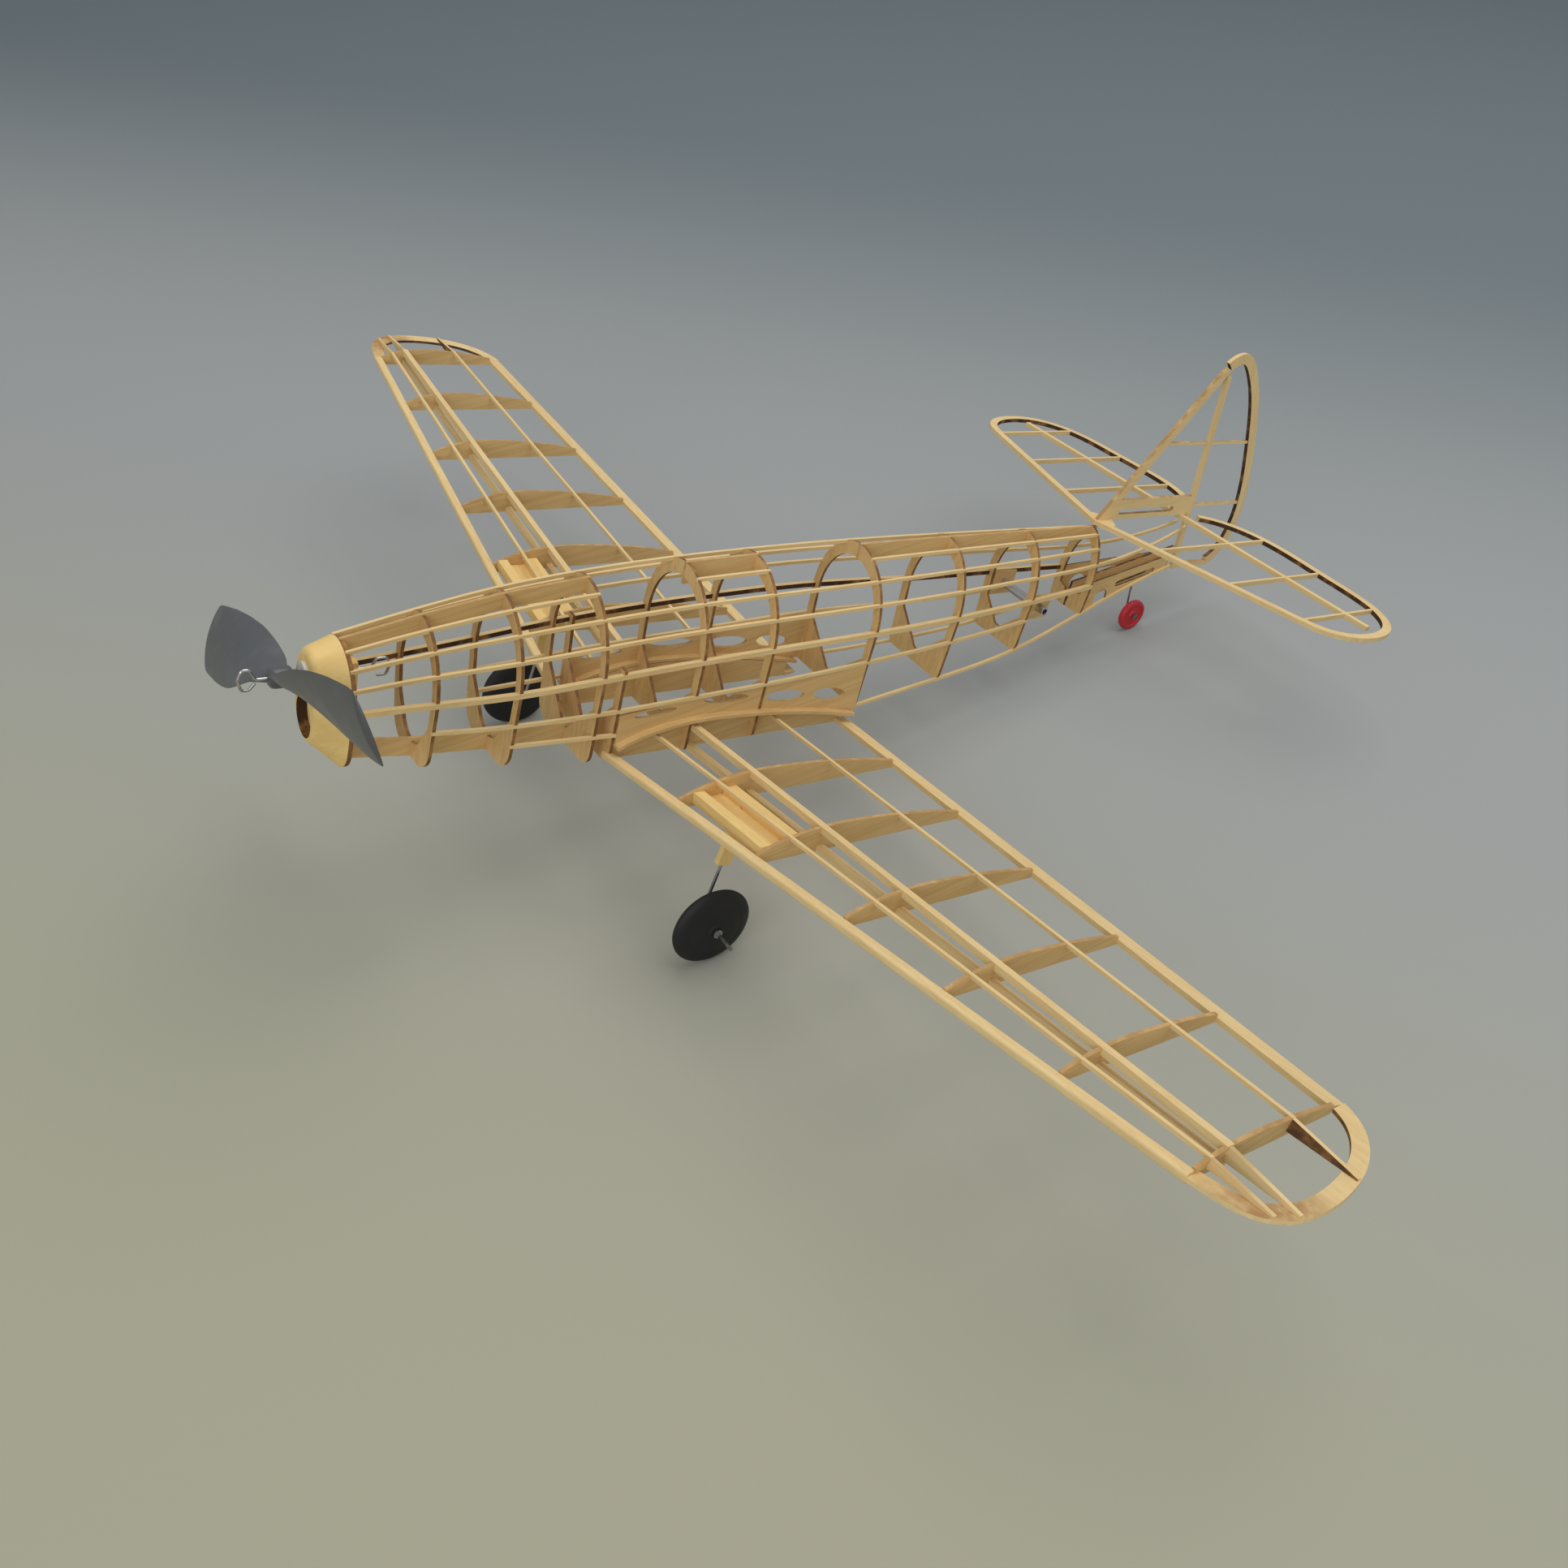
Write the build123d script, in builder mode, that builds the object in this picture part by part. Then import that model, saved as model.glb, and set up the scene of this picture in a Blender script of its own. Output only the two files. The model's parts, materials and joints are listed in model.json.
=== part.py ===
# Low-wing, tandem open-cockpit trainer in balsa sticks and laser-cut sheet, uncovered, rubber powered.
# Design frame: X to the left wing tip, Y from nose to tail, Z up from the thrust line,
# with Y = 0 at the front face of the first former. Every piece is stood on its wheels when it is saved.
import os
from collections import namedtuple
from math import asin, atan, atan2, cos, degrees, hypot, pi, radians, sin

from build123d import *

# ---- stock sizes (mm)
sheet = 1.6                  # former, rib and keel sheet
stringer_size = 1.6          # square stringers
longeron_size = 2.4          # square main longerons
tail_sheet = 2.4             # tail surface stock
proud = 0.3                  # how far stringers stand proud of the formers

# ---- wing
wing_span = 750.0
rib_pitch = 53.4
ribs_per_side = 7
root_rib_x = 23.5
dihedral = 0.15              # rise per unit of span
wing_root_z = -49.0          # chord line height at the centre line
wing_le_y = 116.0            # leading edge stick centre at the centre line
wing_te_y = 258.1            # trailing edge at the centre line
le_sweep = 0.082
te_sweep = -0.099
le_stick = 4.0
te_width = 7.0
te_thick = 2.4
rib_camber = 0.075           # camber height over chord
camber_place = 0.33          # share of the chord where the rib is highest
front_spar_y = 139.5
front_spar_drift = 0.038     # how far the front spar runs back per unit of span
main_spar_y = 160.5
rear_spar_y = 207.9
rear_spar_drift = -0.045
root_lift = 3.6              # extra height of the root rib, which carries the saddle strip
small_spar = 1.6
main_spar = 3.2
tip_sheet_width = 6.5

# ---- fuselage sections: station, half width, top, widest height, bottom, bottom half width, corner radius
Section = namedtuple("Section", "y half top mid bottom base corner")
sections = {
    "1": Section(0.0, 20.0, 14.7, -10.0, -42.0, 15.6, 14.0),
    "2": Section(33.6, 22.5, 22.5, -8.3, -46.0, 18.4, 13.0),
    "3": Section(69.2, 25.8, 29.2, -6.4, -48.5, 22.2, 12.0),
    "4": Section(107.7, 27.8, 33.8, -2.8, -50.0, 25.6, 8.0),
    "5": Section(157.5, 28.6, 37.4, 0.9, -48.0, 27.6, 3.0),
    "6": Section(195.5, 28.8, 38.8, 2.8, -46.0, 27.4, 3.0),
    "7": Section(257.4, 27.8, 40.0, 4.6, -38.5, 26.2, 3.0),
    "8": Section(315.1, 23.6, 40.6, 5.2, -32.5, 21.5, 4.0),
    "9": Section(371.2, 19.0, 40.6, 7.4, -23.5, 17.6, 4.0),
    "10": Section(421.0, 13.6, 40.6, 9.8, -8.5, 12.6, 3.0),
}
tail_post_y = 498.5          # front face of the tail post at the stabiliser
side_rim = 4.6               # former width at the sides
top_rim = 7.2                # former width at the crown
deck_angles = (67.0, 44.5, 24.5)     # places of the three deck stringers round the crown
side_share = 0.38            # drop of the side stringer below the main longeron
lower_share = 0.64           # drop of the short lower stringer
half_former_y = 117.6        # half former under the wing leading edge
cockpit_keel_depth = 11.0
keel_depth = 7.6
belly_keel_depth = 9.0

# ---- tail
stab_z = 43.4                # centre of the stabiliser stock
stab_le_y = 422.9
stab_le_sweep = 0.27
stab_half_span = 147.0
stab_spar_y = 493.6
stab_te_y = 525.5
stab_rib_x = (38.5, 80.0, 121.5)
tail_stick = 3.2
tail_edge = 4.2              # leading edge sticks of the tail
rim_width = 4.6              # stabiliser edge
rudder_rim_width = 5.8
fin_top_z = 138.0
post_lean = -11.2 / 81.0     # forward lean of the tail post per unit of height

# ---- nose, propeller and motor
block_length = 13.0
plug_side = 13.5
plug_depth = 6.0
plug_clearance = 0.05
seat_gap = 0.3               # between the block and the first former
shaft_diameter = 1.2
shaft_clearance = 0.05
button_diameter = 7.0
button_flange = 11.0
washer_thick = 0.5
propeller_diameter = 203.0
propeller_pitch = 200.0
hub_diameter = 9.0
hub_length = 9.0
propeller_rest_angle = 20.0  # left blade above level
peg_diameter = 4.8
peg_bore = 3.2
peg_length = 42.0
peg_z = 2.0

# ---- landing gear
wheel_x = 102.7
wheel_y = 136.8
wheel_z = -88.8
wheel_diameter = 39.0
wheel_width = 10.4
gear_wire = 1.6
axle_clearance = 0.08
tail_wheel_y = 484.4
tail_wheel_z = -20.8
tail_wheel_diameter = 19.0
tail_wheel_width = 4.0
tail_wire = 1.2
retainer_thick = 0.8
end_gap = 0.4                # side play of each wheel on its axle

# ---- derived: attitude on the ground, tangent to the main and the tail wheel
wheel_base = hypot(tail_wheel_y - wheel_y, tail_wheel_z - wheel_z)
stance = degrees(
    atan2(tail_wheel_z - wheel_z, tail_wheel_y - wheel_y)
    + asin((wheel_diameter - tail_wheel_diameter) / 2 / wheel_base)
)

pieces = {}


def keep(name, builder):
    """Remember a finished piece under its name."""
    pieces[name] = builder.part


def stick_plane(start, end, up=(0, 0, 1)):
    """Plane across a stick: its local Y is the side of the stick nearest to up."""
    run = (Vector(*end) - Vector(*start)).normalized()
    side = Vector(*up).cross(run).normalized()
    return Plane(origin=start, x_dir=side, z_dir=run)


def length_of(start, end):
    return (Vector(*end) - Vector(*start)).length


# ---- wing surfaces
def le_y(x):
    return wing_le_y + le_sweep * abs(x)


def te_y(x):
    return wing_te_y + te_sweep * abs(x)


def plane_z(x):
    return wing_root_z + dihedral * abs(x)


def upper_z(x, y):
    """Height of the rib's upper edge: a parabolic camber over a line from stick to trailing edge."""
    chord = te_y(x) - le_y(x)
    t = min(max((y - le_y(x)) / chord, 0.0), 1.0)
    if t < camber_place:
        arch = (t / camber_place) * (2 - t / camber_place)
    else:
        arch = 1 - ((t - camber_place) / (1 - camber_place)) ** 2
    edge = le_stick / 2 + (te_thick - le_stick) / 2 * t
    return plane_z(x) + edge + rib_camber * chord * arch


def lower_z(x, y):
    chord = te_y(x) - le_y(x)
    t = min(max((y - le_y(x)) / chord, 0.0), 1.0)
    return plane_z(x) - le_stick / 2 - (te_thick - le_stick) / 2 * t


rib_places = [root_rib_x + rib_pitch * i for i in range(ribs_per_side)]
tip_rib_x = rib_places[-1]
half_span = wing_span / 2


# ---- fuselage outline points
def crown_point(section, angle, inset):
    """Point on the elliptical crown of a section, moved inwards by inset."""
    x = (section.half - inset) * cos(radians(angle))
    z = section.mid + (section.top - section.mid - inset) * sin(radians(angle))
    return x, section.y, z


def side_point(section, share, inset):
    """Point on the flat side of a section, share of the way from widest height to bottom."""
    x = section.half + (section.base - section.half) * share - inset
    z = section.mid + (section.bottom - section.mid) * share
    return x, section.y, z


def mirrored(points):
    return [(-x, y, z) for x, y, z in points]


def bent_stick(points, size):
    """Square stick bent through points, its section kept square to the fuselage."""
    with BuildPart() as stick:
        with BuildLine() as path:
            Spline(*points)
        with BuildSketch(Plane(origin=points[0], x_dir=(1, 0, 0), z_dir=(0, 1, 0))):
            Rectangle(size, size)
        sweep(path=path.line, normal=(0, 1, 0))
    return stick.part


def straight_stick(start, end, width, height, up=(0, 0, 1)):
    with BuildPart() as stick:
        with BuildSketch(stick_plane(start, end, up)):
            Rectangle(width, height)
        extrude(amount=length_of(start, end))
    return stick.part


def group(*solids):
    """Several solids of one kind kept together as one piece."""
    with BuildPart() as pack:
        for solid in solids:
            add(solid)
    return pack


def without(solid, *cutters):
    """The same piece with the pieces that pass through it notched out."""
    with BuildPart() as notched:
        add(solid)
        for cutter in cutters:
            add(cutter, mode=Mode.SUBTRACT)
    return notched


# ---- fuselage sticks
def chain(names, place):
    return [place(sections[name]) for name in names]


def deck_line(index, names):
    inset = stringer_size / 2 - proud
    return chain(names, lambda section: crown_point(section, deck_angles[index], inset))


def side_line(share, names):
    inset = stringer_size / 2 - proud
    return chain(names, lambda section: side_point(section, share, inset))


def past(points, reach=sheet):
    """Carry a line of points straight on past its last one."""
    last, before = Vector(*points[-1]), Vector(*points[-2])
    return list(points[:-1]) + [tuple(last + (last - before).normalized() * reach)]


tail_deck = (3.6, tail_post_y - 1.0, 38.0)
tail_waist = (3.2, tail_post_y - 1.0, 27.0)
tail_side = (3.6, tail_post_y - 1.0, 12.6)
nose_names = ["1", "2", "3", "4"]
middle_names = ["5", "6"]
rear_names = ["7", "8", "9", "10"]
all_names = list(sections)

crown_front = past(deck_line(0, nose_names))
crown_middle = past(deck_line(0, middle_names))
crown_rear = past(deck_line(0, rear_names))
crown_whole = past(deck_line(0, all_names))
sill_line = past(deck_line(1, all_names))
waist_line = deck_line(2, all_names) + [tail_deck]
longeron_line = past(chain(all_names, lambda s: side_point(s, 0.0, longeron_size / 2 - proud)))
flank_line = past(side_line(side_share, all_names[1:9]))
lower_line = past(side_line(lower_share, ["3", "4"]), half_former_y - sections["4"].y + sheet)
base_line = chain(rear_names, lambda s: side_point(s, 0.985, stringer_size / 2 - proud)) + [tail_side]

keep("deck_stringers_left", group(
    bent_stick(crown_front, stringer_size), bent_stick(crown_middle, stringer_size),
    bent_stick(crown_rear, stringer_size), bent_stick(sill_line, stringer_size),
    bent_stick(waist_line, stringer_size),
))
keep("deck_stringers_right", group(
    bent_stick(mirrored(crown_whole), stringer_size), bent_stick(mirrored(sill_line), stringer_size),
    bent_stick(mirrored(waist_line), stringer_size),
))
for side, turn in (("left", list), ("right", mirrored)):
    keep(f"main_longeron_{side}", group(bent_stick(turn(longeron_line), longeron_size)))
    keep(f"side_stringers_{side}", group(
        bent_stick(turn(flank_line), stringer_size), bent_stick(turn(lower_line), stringer_size),
    ))
keep("bottom_longerons", group(
    bent_stick(base_line, stringer_size), bent_stick(mirrored(base_line), stringer_size),
))


# ---- keels: upright sheets on the centre line
def upright_sheet(outline, thickness=sheet):
    """Sheet on the centre line with a straight-sided outline in Y and Z."""
    with BuildPart() as plate:
        with BuildSketch(Plane.YZ):
            with BuildLine():
                Polyline(*outline, close=True)
            make_face()
        extrude(amount=thickness / 2, both=True)
    return plate.part


def deck_keel(names, depth, reach=sheet):
    tops = [(sections[n].y, sections[n].top + proud) for n in names]
    tops[-1] = (tops[-1][0] + reach, tops[-1][1])
    return upright_sheet(tops + [(y, z - depth) for y, z in reversed(tops)])


def belly_keel(names, depth):
    lows = [(sections[n].y, sections[n].bottom - proud) for n in names]
    lows[-1] = (half_former_y, lows[-1][1])
    return upright_sheet(lows + [(y, z + depth) for y, z in reversed(lows)])


fin_foot_y = 424.6
keep("nose_deck_keel", group(deck_keel(nose_names, keel_depth)))
keep("cockpit_deck_keel", group(deck_keel(middle_names, cockpit_keel_depth)))
keep("rear_deck_keel", group(deck_keel(rear_names, keel_depth, fin_foot_y - sections["10"].y)))
keep("nose_belly_keel", group(belly_keel(nose_names, belly_keel_depth)))


def tail_keel():
    """Lower rear keel with a round front notch and a long lightening slot."""
    front, back = sections["10"].y, tail_post_y
    low, high = sections["10"].bottom, 10.0
    with BuildPart() as plate:
        with BuildSketch(Plane.YZ):
            with BuildLine():
                Polyline((front, low), (back, high + 1.5), (back, high + 14.0), (front, low + 15.0), close=True)
            make_face()
            with Locations((front + 17.0, low + 9.4)):
                Circle(6.0, mode=Mode.SUBTRACT)
            with Locations(Location((front + 45.0, low + 15.4), (0, 0, 14.0))):
                SlotOverall(32.0, 5.0, mode=Mode.SUBTRACT)
        extrude(amount=sheet / 2, both=True)
    return plate.part


keep("tail_belly_keel", group(tail_keel()))


# ---- tail frame
def leaned(z):
    """Front face of the leaning tail post at a height."""
    return tail_post_y + (z - stab_z) * post_lean


post_low, post_high = 9.0, fin_top_z - 11.0
post_depth = 3.2
keep("tail_post", group(upright_sheet([
    (leaned(post_low), post_low), (leaned(post_low) + post_depth, post_low),
    (leaned(post_high) + post_depth, post_high), (leaned(post_high), post_high),
], tail_sheet)))

fin_le_bottom = (fin_foot_y, stab_z + tail_sheet / 2)
fin_le_top = (484.0, fin_top_z - 7.5)
fin_rib_z = 88.3
fin_base_height = 11.5
rudder_rib_z = (50.0, fin_rib_z)


def fin_front():
    """Leading edge stick, base sheet with its long slot, and the fin rib."""
    foot_y, foot_z = fin_le_bottom
    top_y, top_z = fin_le_top
    width = tail_edge
    with BuildPart() as fin:
        with BuildSketch(Plane.YZ):
            with BuildLine():
                Polyline((foot_y - 2.0, foot_z), (foot_y + width, foot_z), (top_y + width, top_z),
                         (top_y, top_z + 1.5), close=True)
            make_face()
            with BuildLine():
                Polyline((foot_y + 3.0, foot_z + 4.6), (foot_y + 8.0, foot_z + fin_base_height),
                         (leaned(foot_z + fin_base_height), foot_z + fin_base_height),
                         (leaned(foot_z), foot_z), (foot_y, foot_z), close=True)
            make_face()
            with Locations((foot_y + 36.0, foot_z + 4.2)):
                SlotOverall(46.0, 3.0, mode=Mode.SUBTRACT)
        extrude(amount=tail_sheet / 2, both=True)
    return fin.part


def fin_rib():
    foot_y, foot_z = fin_le_bottom
    top_y, top_z = fin_le_top
    share = (fin_rib_z - foot_z) / (top_z - foot_z)
    start = foot_y + share * (top_y - foot_y) + 2.0
    return upright_sheet([
        (start, fin_rib_z - 0.8), (leaned(fin_rib_z), fin_rib_z - 0.8),
        (leaned(fin_rib_z), fin_rib_z + 0.8), (start, fin_rib_z + 0.8),
    ], sheet)


rudder_band = 3.4            # half of this lies outside the rudder line, the rest of the rim inside it


def rudder_line():
    """Line of the rudder's edge from fin tip to heel."""
    return [
        (fin_le_top[0] + 1.2, fin_le_top[1] + 2.6), (490.5, fin_top_z - 1.2), (497.5, fin_top_z),
        (506.5, 132.0), (517.5, 118.0), (533.0, 87.0), (543.5, 59.0), (546.7, 37.0), (541.5, 18.0), (533.5, 11.0),
    ]


def rudder_rim():
    """Laminated rudder edge: a curved band from the fin tip round to the heel of the rudder."""
    with BuildPart() as rim:
        with BuildLine(Plane.YZ) as edge:
            Spline(*rudder_line())
        start = edge.line @ 0
        along = edge.line % 0
        with BuildSketch(Plane(origin=start, x_dir=(1, 0, 0), z_dir=along)):
            with Locations((0, (rudder_rim_width - rudder_band) / 2)):
                Rectangle(tail_sheet, rudder_rim_width)
        sweep(path=edge.line)
    return rim.part


def rudder_ribs():
    """Cross ribs between the post and the rudder edge, and the heel that closes its foot."""
    ribs = []
    for z, reach in ((rudder_rib_z[0], 544.0), (rudder_rib_z[1], 531.5)):
        ribs.append(upright_sheet([
            (leaned(z) + post_depth, z - 0.8), (reach, z - 0.8), (reach, z + 0.8), (leaned(z) + post_depth, z + 0.8),
        ], sheet))
    ribs.append(upright_sheet([
        (leaned(post_low) + post_depth, 9.4), (534.0, 9.4), (534.0, 12.4), (leaned(post_low + 3) + post_depth, 12.4),
    ], tail_sheet))
    return ribs


rim = rudder_rim()
keep("rudder_rim", without(rim, pieces["tail_post"]))
keep("rudder_ribs", without(group(*rudder_ribs()).part, rim, pieces["tail_post"]))
keep("fin_frame", without(fin_front(), rim, pieces["tail_post"]))
keep("fin_rib", without(fin_rib(), pieces["fin_frame"], pieces["tail_post"]))


def flat_stick(start, end, width, thickness=tail_sheet):
    (x0, y0), (x1, y1) = start, end
    return straight_stick((x0, y0, stab_z), (x1, y1, stab_z), width, thickness)


def stab_le(x):
    return stab_le_y + stab_le_sweep * abs(x)


stab_tip_x = stab_rib_x[-1]


def stab_leading_edge():
    left = flat_stick((0, stab_le(0)), (stab_tip_x + 1.5, stab_le(stab_tip_x + 1.5)), tail_edge)
    right = flat_stick((0, stab_le(0)), (-stab_tip_x - 1.5, stab_le(stab_tip_x + 1.5)), tail_edge)
    with BuildPart() as centre:
        with BuildSketch(Plane.XY.offset(stab_z - tail_sheet / 2)):
            with BuildLine():
                Polyline((0, stab_le(0) - 1.6), (9.0, stab_le(9.0)), (9.0, stab_le(9.0) + 4.0),
                         (0, stab_le(0) + 12.0), (-9.0, stab_le(9.0) + 4.0), (-9.0, stab_le(9.0)), close=True)
            make_face()
        extrude(amount=tail_sheet)
    with BuildPart() as edge:
        add(left)
        add(right)
        add(centre.part)
    return edge.part


def stab_edge_line(sign):
    """Centre line of the laminated stabiliser edge, from leading edge round the tip to the rudder gap."""
    return [
        (sign * stab_tip_x, stab_le(stab_tip_x)), (sign * (stab_half_span - 7.5), stab_le(stab_tip_x) + 10.5),
        (sign * (stab_half_span - 1.7), 484.5), (sign * (stab_half_span - 8.0), 508.0),
        (sign * stab_tip_x, 520.5), (sign * (stab_rib_x[1] + 4), stab_te_y), (sign * 36.0, stab_te_y + 0.5),
        (sign * 15.0, 517.5), (sign * 4.0, tail_post_y + 6.5),
    ]


def stab_rim(sign):
    with BuildPart() as band:
        with BuildLine(Plane.XY.offset(stab_z)) as edge:
            Spline(*stab_edge_line(sign))
        with BuildSketch(Plane(origin=edge.line @ 0, x_dir=(0, 0, 1), z_dir=edge.line % 0)):
            with Locations((0, -sign * (rim_width - tail_stick) / 2)):
                Rectangle(tail_sheet, rim_width)
        sweep(path=edge.line)
    return band.part


stab_front = stab_leading_edge()
with BuildPart() as stab_spar:
    with Locations((0, stab_spar_y, stab_z)):
        Box(2 * (stab_tip_x + 15.0), tail_stick, tail_sheet)
rims = [stab_rim(1), stab_rim(-1)]
keep("stabiliser_leading_edge", without(stab_front, *rims))
keep("stabiliser_spar", without(stab_spar.part, *rims))
keep("stabiliser_rim", group(*[without(rim_side, pieces["tail_post"]).part for rim_side in rims]))


def stab_ribs():
    ribs = []
    for sign in (1, -1):
        for x in stab_rib_x:
            with BuildPart() as rib:
                with Locations((sign * x, (stab_le(x) + stab_te_y) / 2, stab_z)):
                    Box(sheet, stab_te_y - stab_le(x), tail_sheet)
            cutters = [stab_front, stab_spar.part] + rims
            cut = without(rib.part, *cutters).part
            ribs += [solid for solid in cut.solids() if solid.volume > 20]
    return ribs


keep("stabiliser_ribs", group(*stab_ribs()))


# ---- wing sticks, ribs and tips; the right wing mirrors the left
rib_half = sheet / 2
stick_start = root_rib_x - rib_half
stick_end = tip_rib_x + rib_half


def span_stick(y_line, z_line, width, height, reach=stick_end):
    """Straight stick along the wing; y_line and z_line give its centre at a span place."""
    start = (stick_start, y_line(stick_start), z_line(stick_start))
    end = (reach, y_line(reach), z_line(reach))
    return straight_stick(start, end, width, height)


def leading_edge_stick():
    rounding = 1.3
    with BuildPart() as stick:
        start = (stick_start, le_y(stick_start), plane_z(stick_start))
        end = (stick_end, le_y(stick_end), plane_z(stick_end))
        with BuildSketch(stick_plane(start, end)):
            with BuildLine():
                Polyline((le_stick / 2, le_stick / 2), (le_stick / 2, -le_stick / 2),
                         (-le_stick / 2, -le_stick / 2), (-le_stick / 2, le_stick / 2), close=True)
            make_face()
        extrude(amount=length_of(start, end))
        front_edges = stick.edges().filter_by(GeomType.LINE).sort_by(SortBy.LENGTH)[-4:].sort_by(Axis.Y)[:2]
        fillet(front_edges, rounding)
    return stick.part


def trailing_edge_stock():
    """Tapered trailing edge stock, thick in front and thin behind."""
    thin = 0.8
    start = (stick_start, te_y(stick_start), plane_z(stick_start))
    end = (stick_end, te_y(stick_end), plane_z(stick_end))
    with BuildPart() as stock:
        with BuildSketch(stick_plane(start, end)):
            with BuildLine():
                Polyline((0, thin / 2), (-te_width, te_thick / 2), (-te_width, -te_thick / 2),
                         (0, -thin / 2), close=True)
            make_face()
        extrude(amount=length_of(start, end))
    return stock.part


def front_spar_line(x):
    return front_spar_y + front_spar_drift * x


def rear_spar_line(x):
    return rear_spar_y + rear_spar_drift * x


def top_spars():
    def main_line(x):
        return main_spar_y

    def rear_line(x):
        return rear_spar_line(x)

    spars = []
    for line, size in ((front_spar_line, small_spar), (main_line, main_spar), (rear_line, small_spar)):
        def height(x, line=line, size=size):
            return upper_z(x, line(x)) - size / 2 + proud
        spars.append(span_stick(line, height, size, size))
    spars.append(span_stick(main_line, lambda x: lower_z(x, main_spar_y) + main_spar / 2 - proud,
                            main_spar, main_spar))
    return spars


def rib_blank(x, lift=0.0):
    """Rib with a cambered upper edge and a straight lower one, from the leading stick to the trailing stock."""
    front = le_y(x) + le_stick / 2
    back = te_y(x) - te_width
    steps = 6
    upper = [front + (back - front) * i / steps for i in range(steps + 1)]
    with BuildPart() as rib:
        with BuildSketch(Plane.YZ.offset(x)):
            with BuildLine():
                Spline(*[(y, upper_z(x, y) + lift) for y in upper])
                Polyline((back, upper_z(x, back) + lift), (back, lower_z(x, back)),
                         (front, lower_z(x, front)), (front, upper_z(x, front) + lift))
            make_face()
        extrude(amount=rib_half, both=True)
    return rib.part


brace_lean = 0.03            # how far the tip braces run back per unit of span


def tip_plane():
    rise = Vector(1, 0, dihedral).normalized()
    return Plane(origin=(tip_rib_x, 0, plane_z(tip_rib_x)), x_dir=rise, z_dir=(-rise.Z, 0, rise.X))


def tip_outline(inset):
    """Outer curve of the tip, in the tilted tip plane, moved inwards by inset."""
    reach = (half_span - tip_rib_x) / cos(atan(dihedral)) - inset
    front, back = le_y(tip_rib_x) - le_stick / 2 + inset, te_y(tip_rib_x) - inset
    chord = back - front
    return [(rib_half, front), (0.32 * reach, front + 0.022 * chord), (0.64 * reach, front + 0.062 * chord),
            (0.88 * reach, front + 0.15 * chord), (reach, front + 0.34 * chord), (0.94 * reach, front + 0.56 * chord),
            (0.77 * reach, front + 0.75 * chord), (0.46 * reach, front + 0.91 * chord), (rib_half, back)]


def wing_tip(cutters):
    """Flat curved tip sheet with three tapering braces standing on it."""
    with BuildPart() as tip:
        with BuildSketch(tip_plane().offset(-sheet / 2)):
            with BuildLine():
                Spline(*tip_outline(0))
                Line(tip_outline(0)[-1], tip_outline(0)[0])
            make_face()
            with BuildLine():
                Spline(*tip_outline(tip_sheet_width))
                Line(tip_outline(tip_sheet_width)[-1], tip_outline(tip_sheet_width)[0])
            make_face(mode=Mode.SUBTRACT)
        extrude(amount=sheet)
    rise = tip_plane().z_dir
    braces = []
    for y, share in ((front_spar_line(tip_rib_x), 0.8), (main_spar_y, 0.92), (rear_spar_line(tip_rib_x), 0.86)):
        tall = upper_z(tip_rib_x, y) - plane_z(tip_rib_x)
        run = share * (half_span - tip_rib_x)
        root = Vector(stick_end, y, plane_z(stick_end) + sheet / 2)
        out = Vector(1, brace_lean, dihedral).normalized()
        with BuildPart() as brace:
            with BuildSketch(Plane(origin=root, x_dir=out, z_dir=out.cross(rise))):
                with BuildLine():
                    Polyline((0, 0), (run, 0), (run, 0.8), (0, tall - sheet / 2), close=True)
                make_face()
            extrude(amount=sheet / 2, both=True)
        braces.append(brace.part)
    with BuildPart() as whole:
        add(tip.part)
        for brace in braces:
            add(brace)
        for cutter in cutters:
            add(cutter, mode=Mode.SUBTRACT)
    return whole.part


def reflected(part):
    with BuildPart() as other:
        add(mirror(part, about=Plane.YZ, mode=Mode.PRIVATE))
    return other.part


le_part = leading_edge_stick()
te_part = trailing_edge_stock()
spar_parts = top_spars()
rib_blanks = [rib_blank(x, root_lift if x == root_rib_x else 0.0) for x in rib_places]
rib_parts = [without(blank, le_part, te_part, *spar_parts).part for blank in rib_blanks]
tip_part = wing_tip([le_part, te_part] + rib_parts + spar_parts)

for side, turn in (("left", lambda part: part), ("right", reflected)):
    keep(f"wing_leading_edge_{side}", group(turn(le_part)))
    keep(f"wing_trailing_edge_{side}", group(turn(te_part)))
    keep(f"wing_spars_{side}", group(*[turn(spar) for spar in spar_parts]))
    keep(f"wing_ribs_{side}", group(*[turn(rib) for rib in rib_parts]))
    keep(f"wing_tip_{side}", group(turn(tip_part)))


# ---- wing saddle: curved strip on the root rib and side sheet above it
strip_width = 8.6
saddle_inner = 26.0
Lens = namedtuple("Lens", "y lift half_length half_height tilt")
saddle_lenses = [
    Lens(138.0, 8.0, 11.0, 1.8, 4.0), Lens(176.0, 7.6, 12.5, 2.2, -3.0),
    Lens(210.5, 7.0, 11.5, 3.2, -5.0), Lens(238.0, 8.6, 10.0, 3.6, -8.0),
]
saddle_front = half_former_y + sheet
saddle_back = sections["7"].y


def curve_over_rib(lift, front, back, steps=6):
    places = [front + (back - front) * i / steps for i in range(steps + 1)]
    return [(y, upper_z(root_rib_x, y) + root_lift + lift) for y in places]


def saddle_strip():
    low = curve_over_rib(proud, saddle_front, saddle_back - 2.0)
    high = curve_over_rib(proud + sheet, saddle_front, saddle_back - 2.0)
    with BuildPart() as strip:
        with BuildSketch(Plane.YZ.offset(root_rib_x - rib_half)):
            with BuildLine():
                Spline(*low)
                Spline(*high)
                Line(low[0], high[0])
                Line(low[-1], high[-1])
            make_face()
        extrude(amount=strip_width)
    return without(strip.part, le_part, *rib_parts, *spar_parts).part


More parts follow.
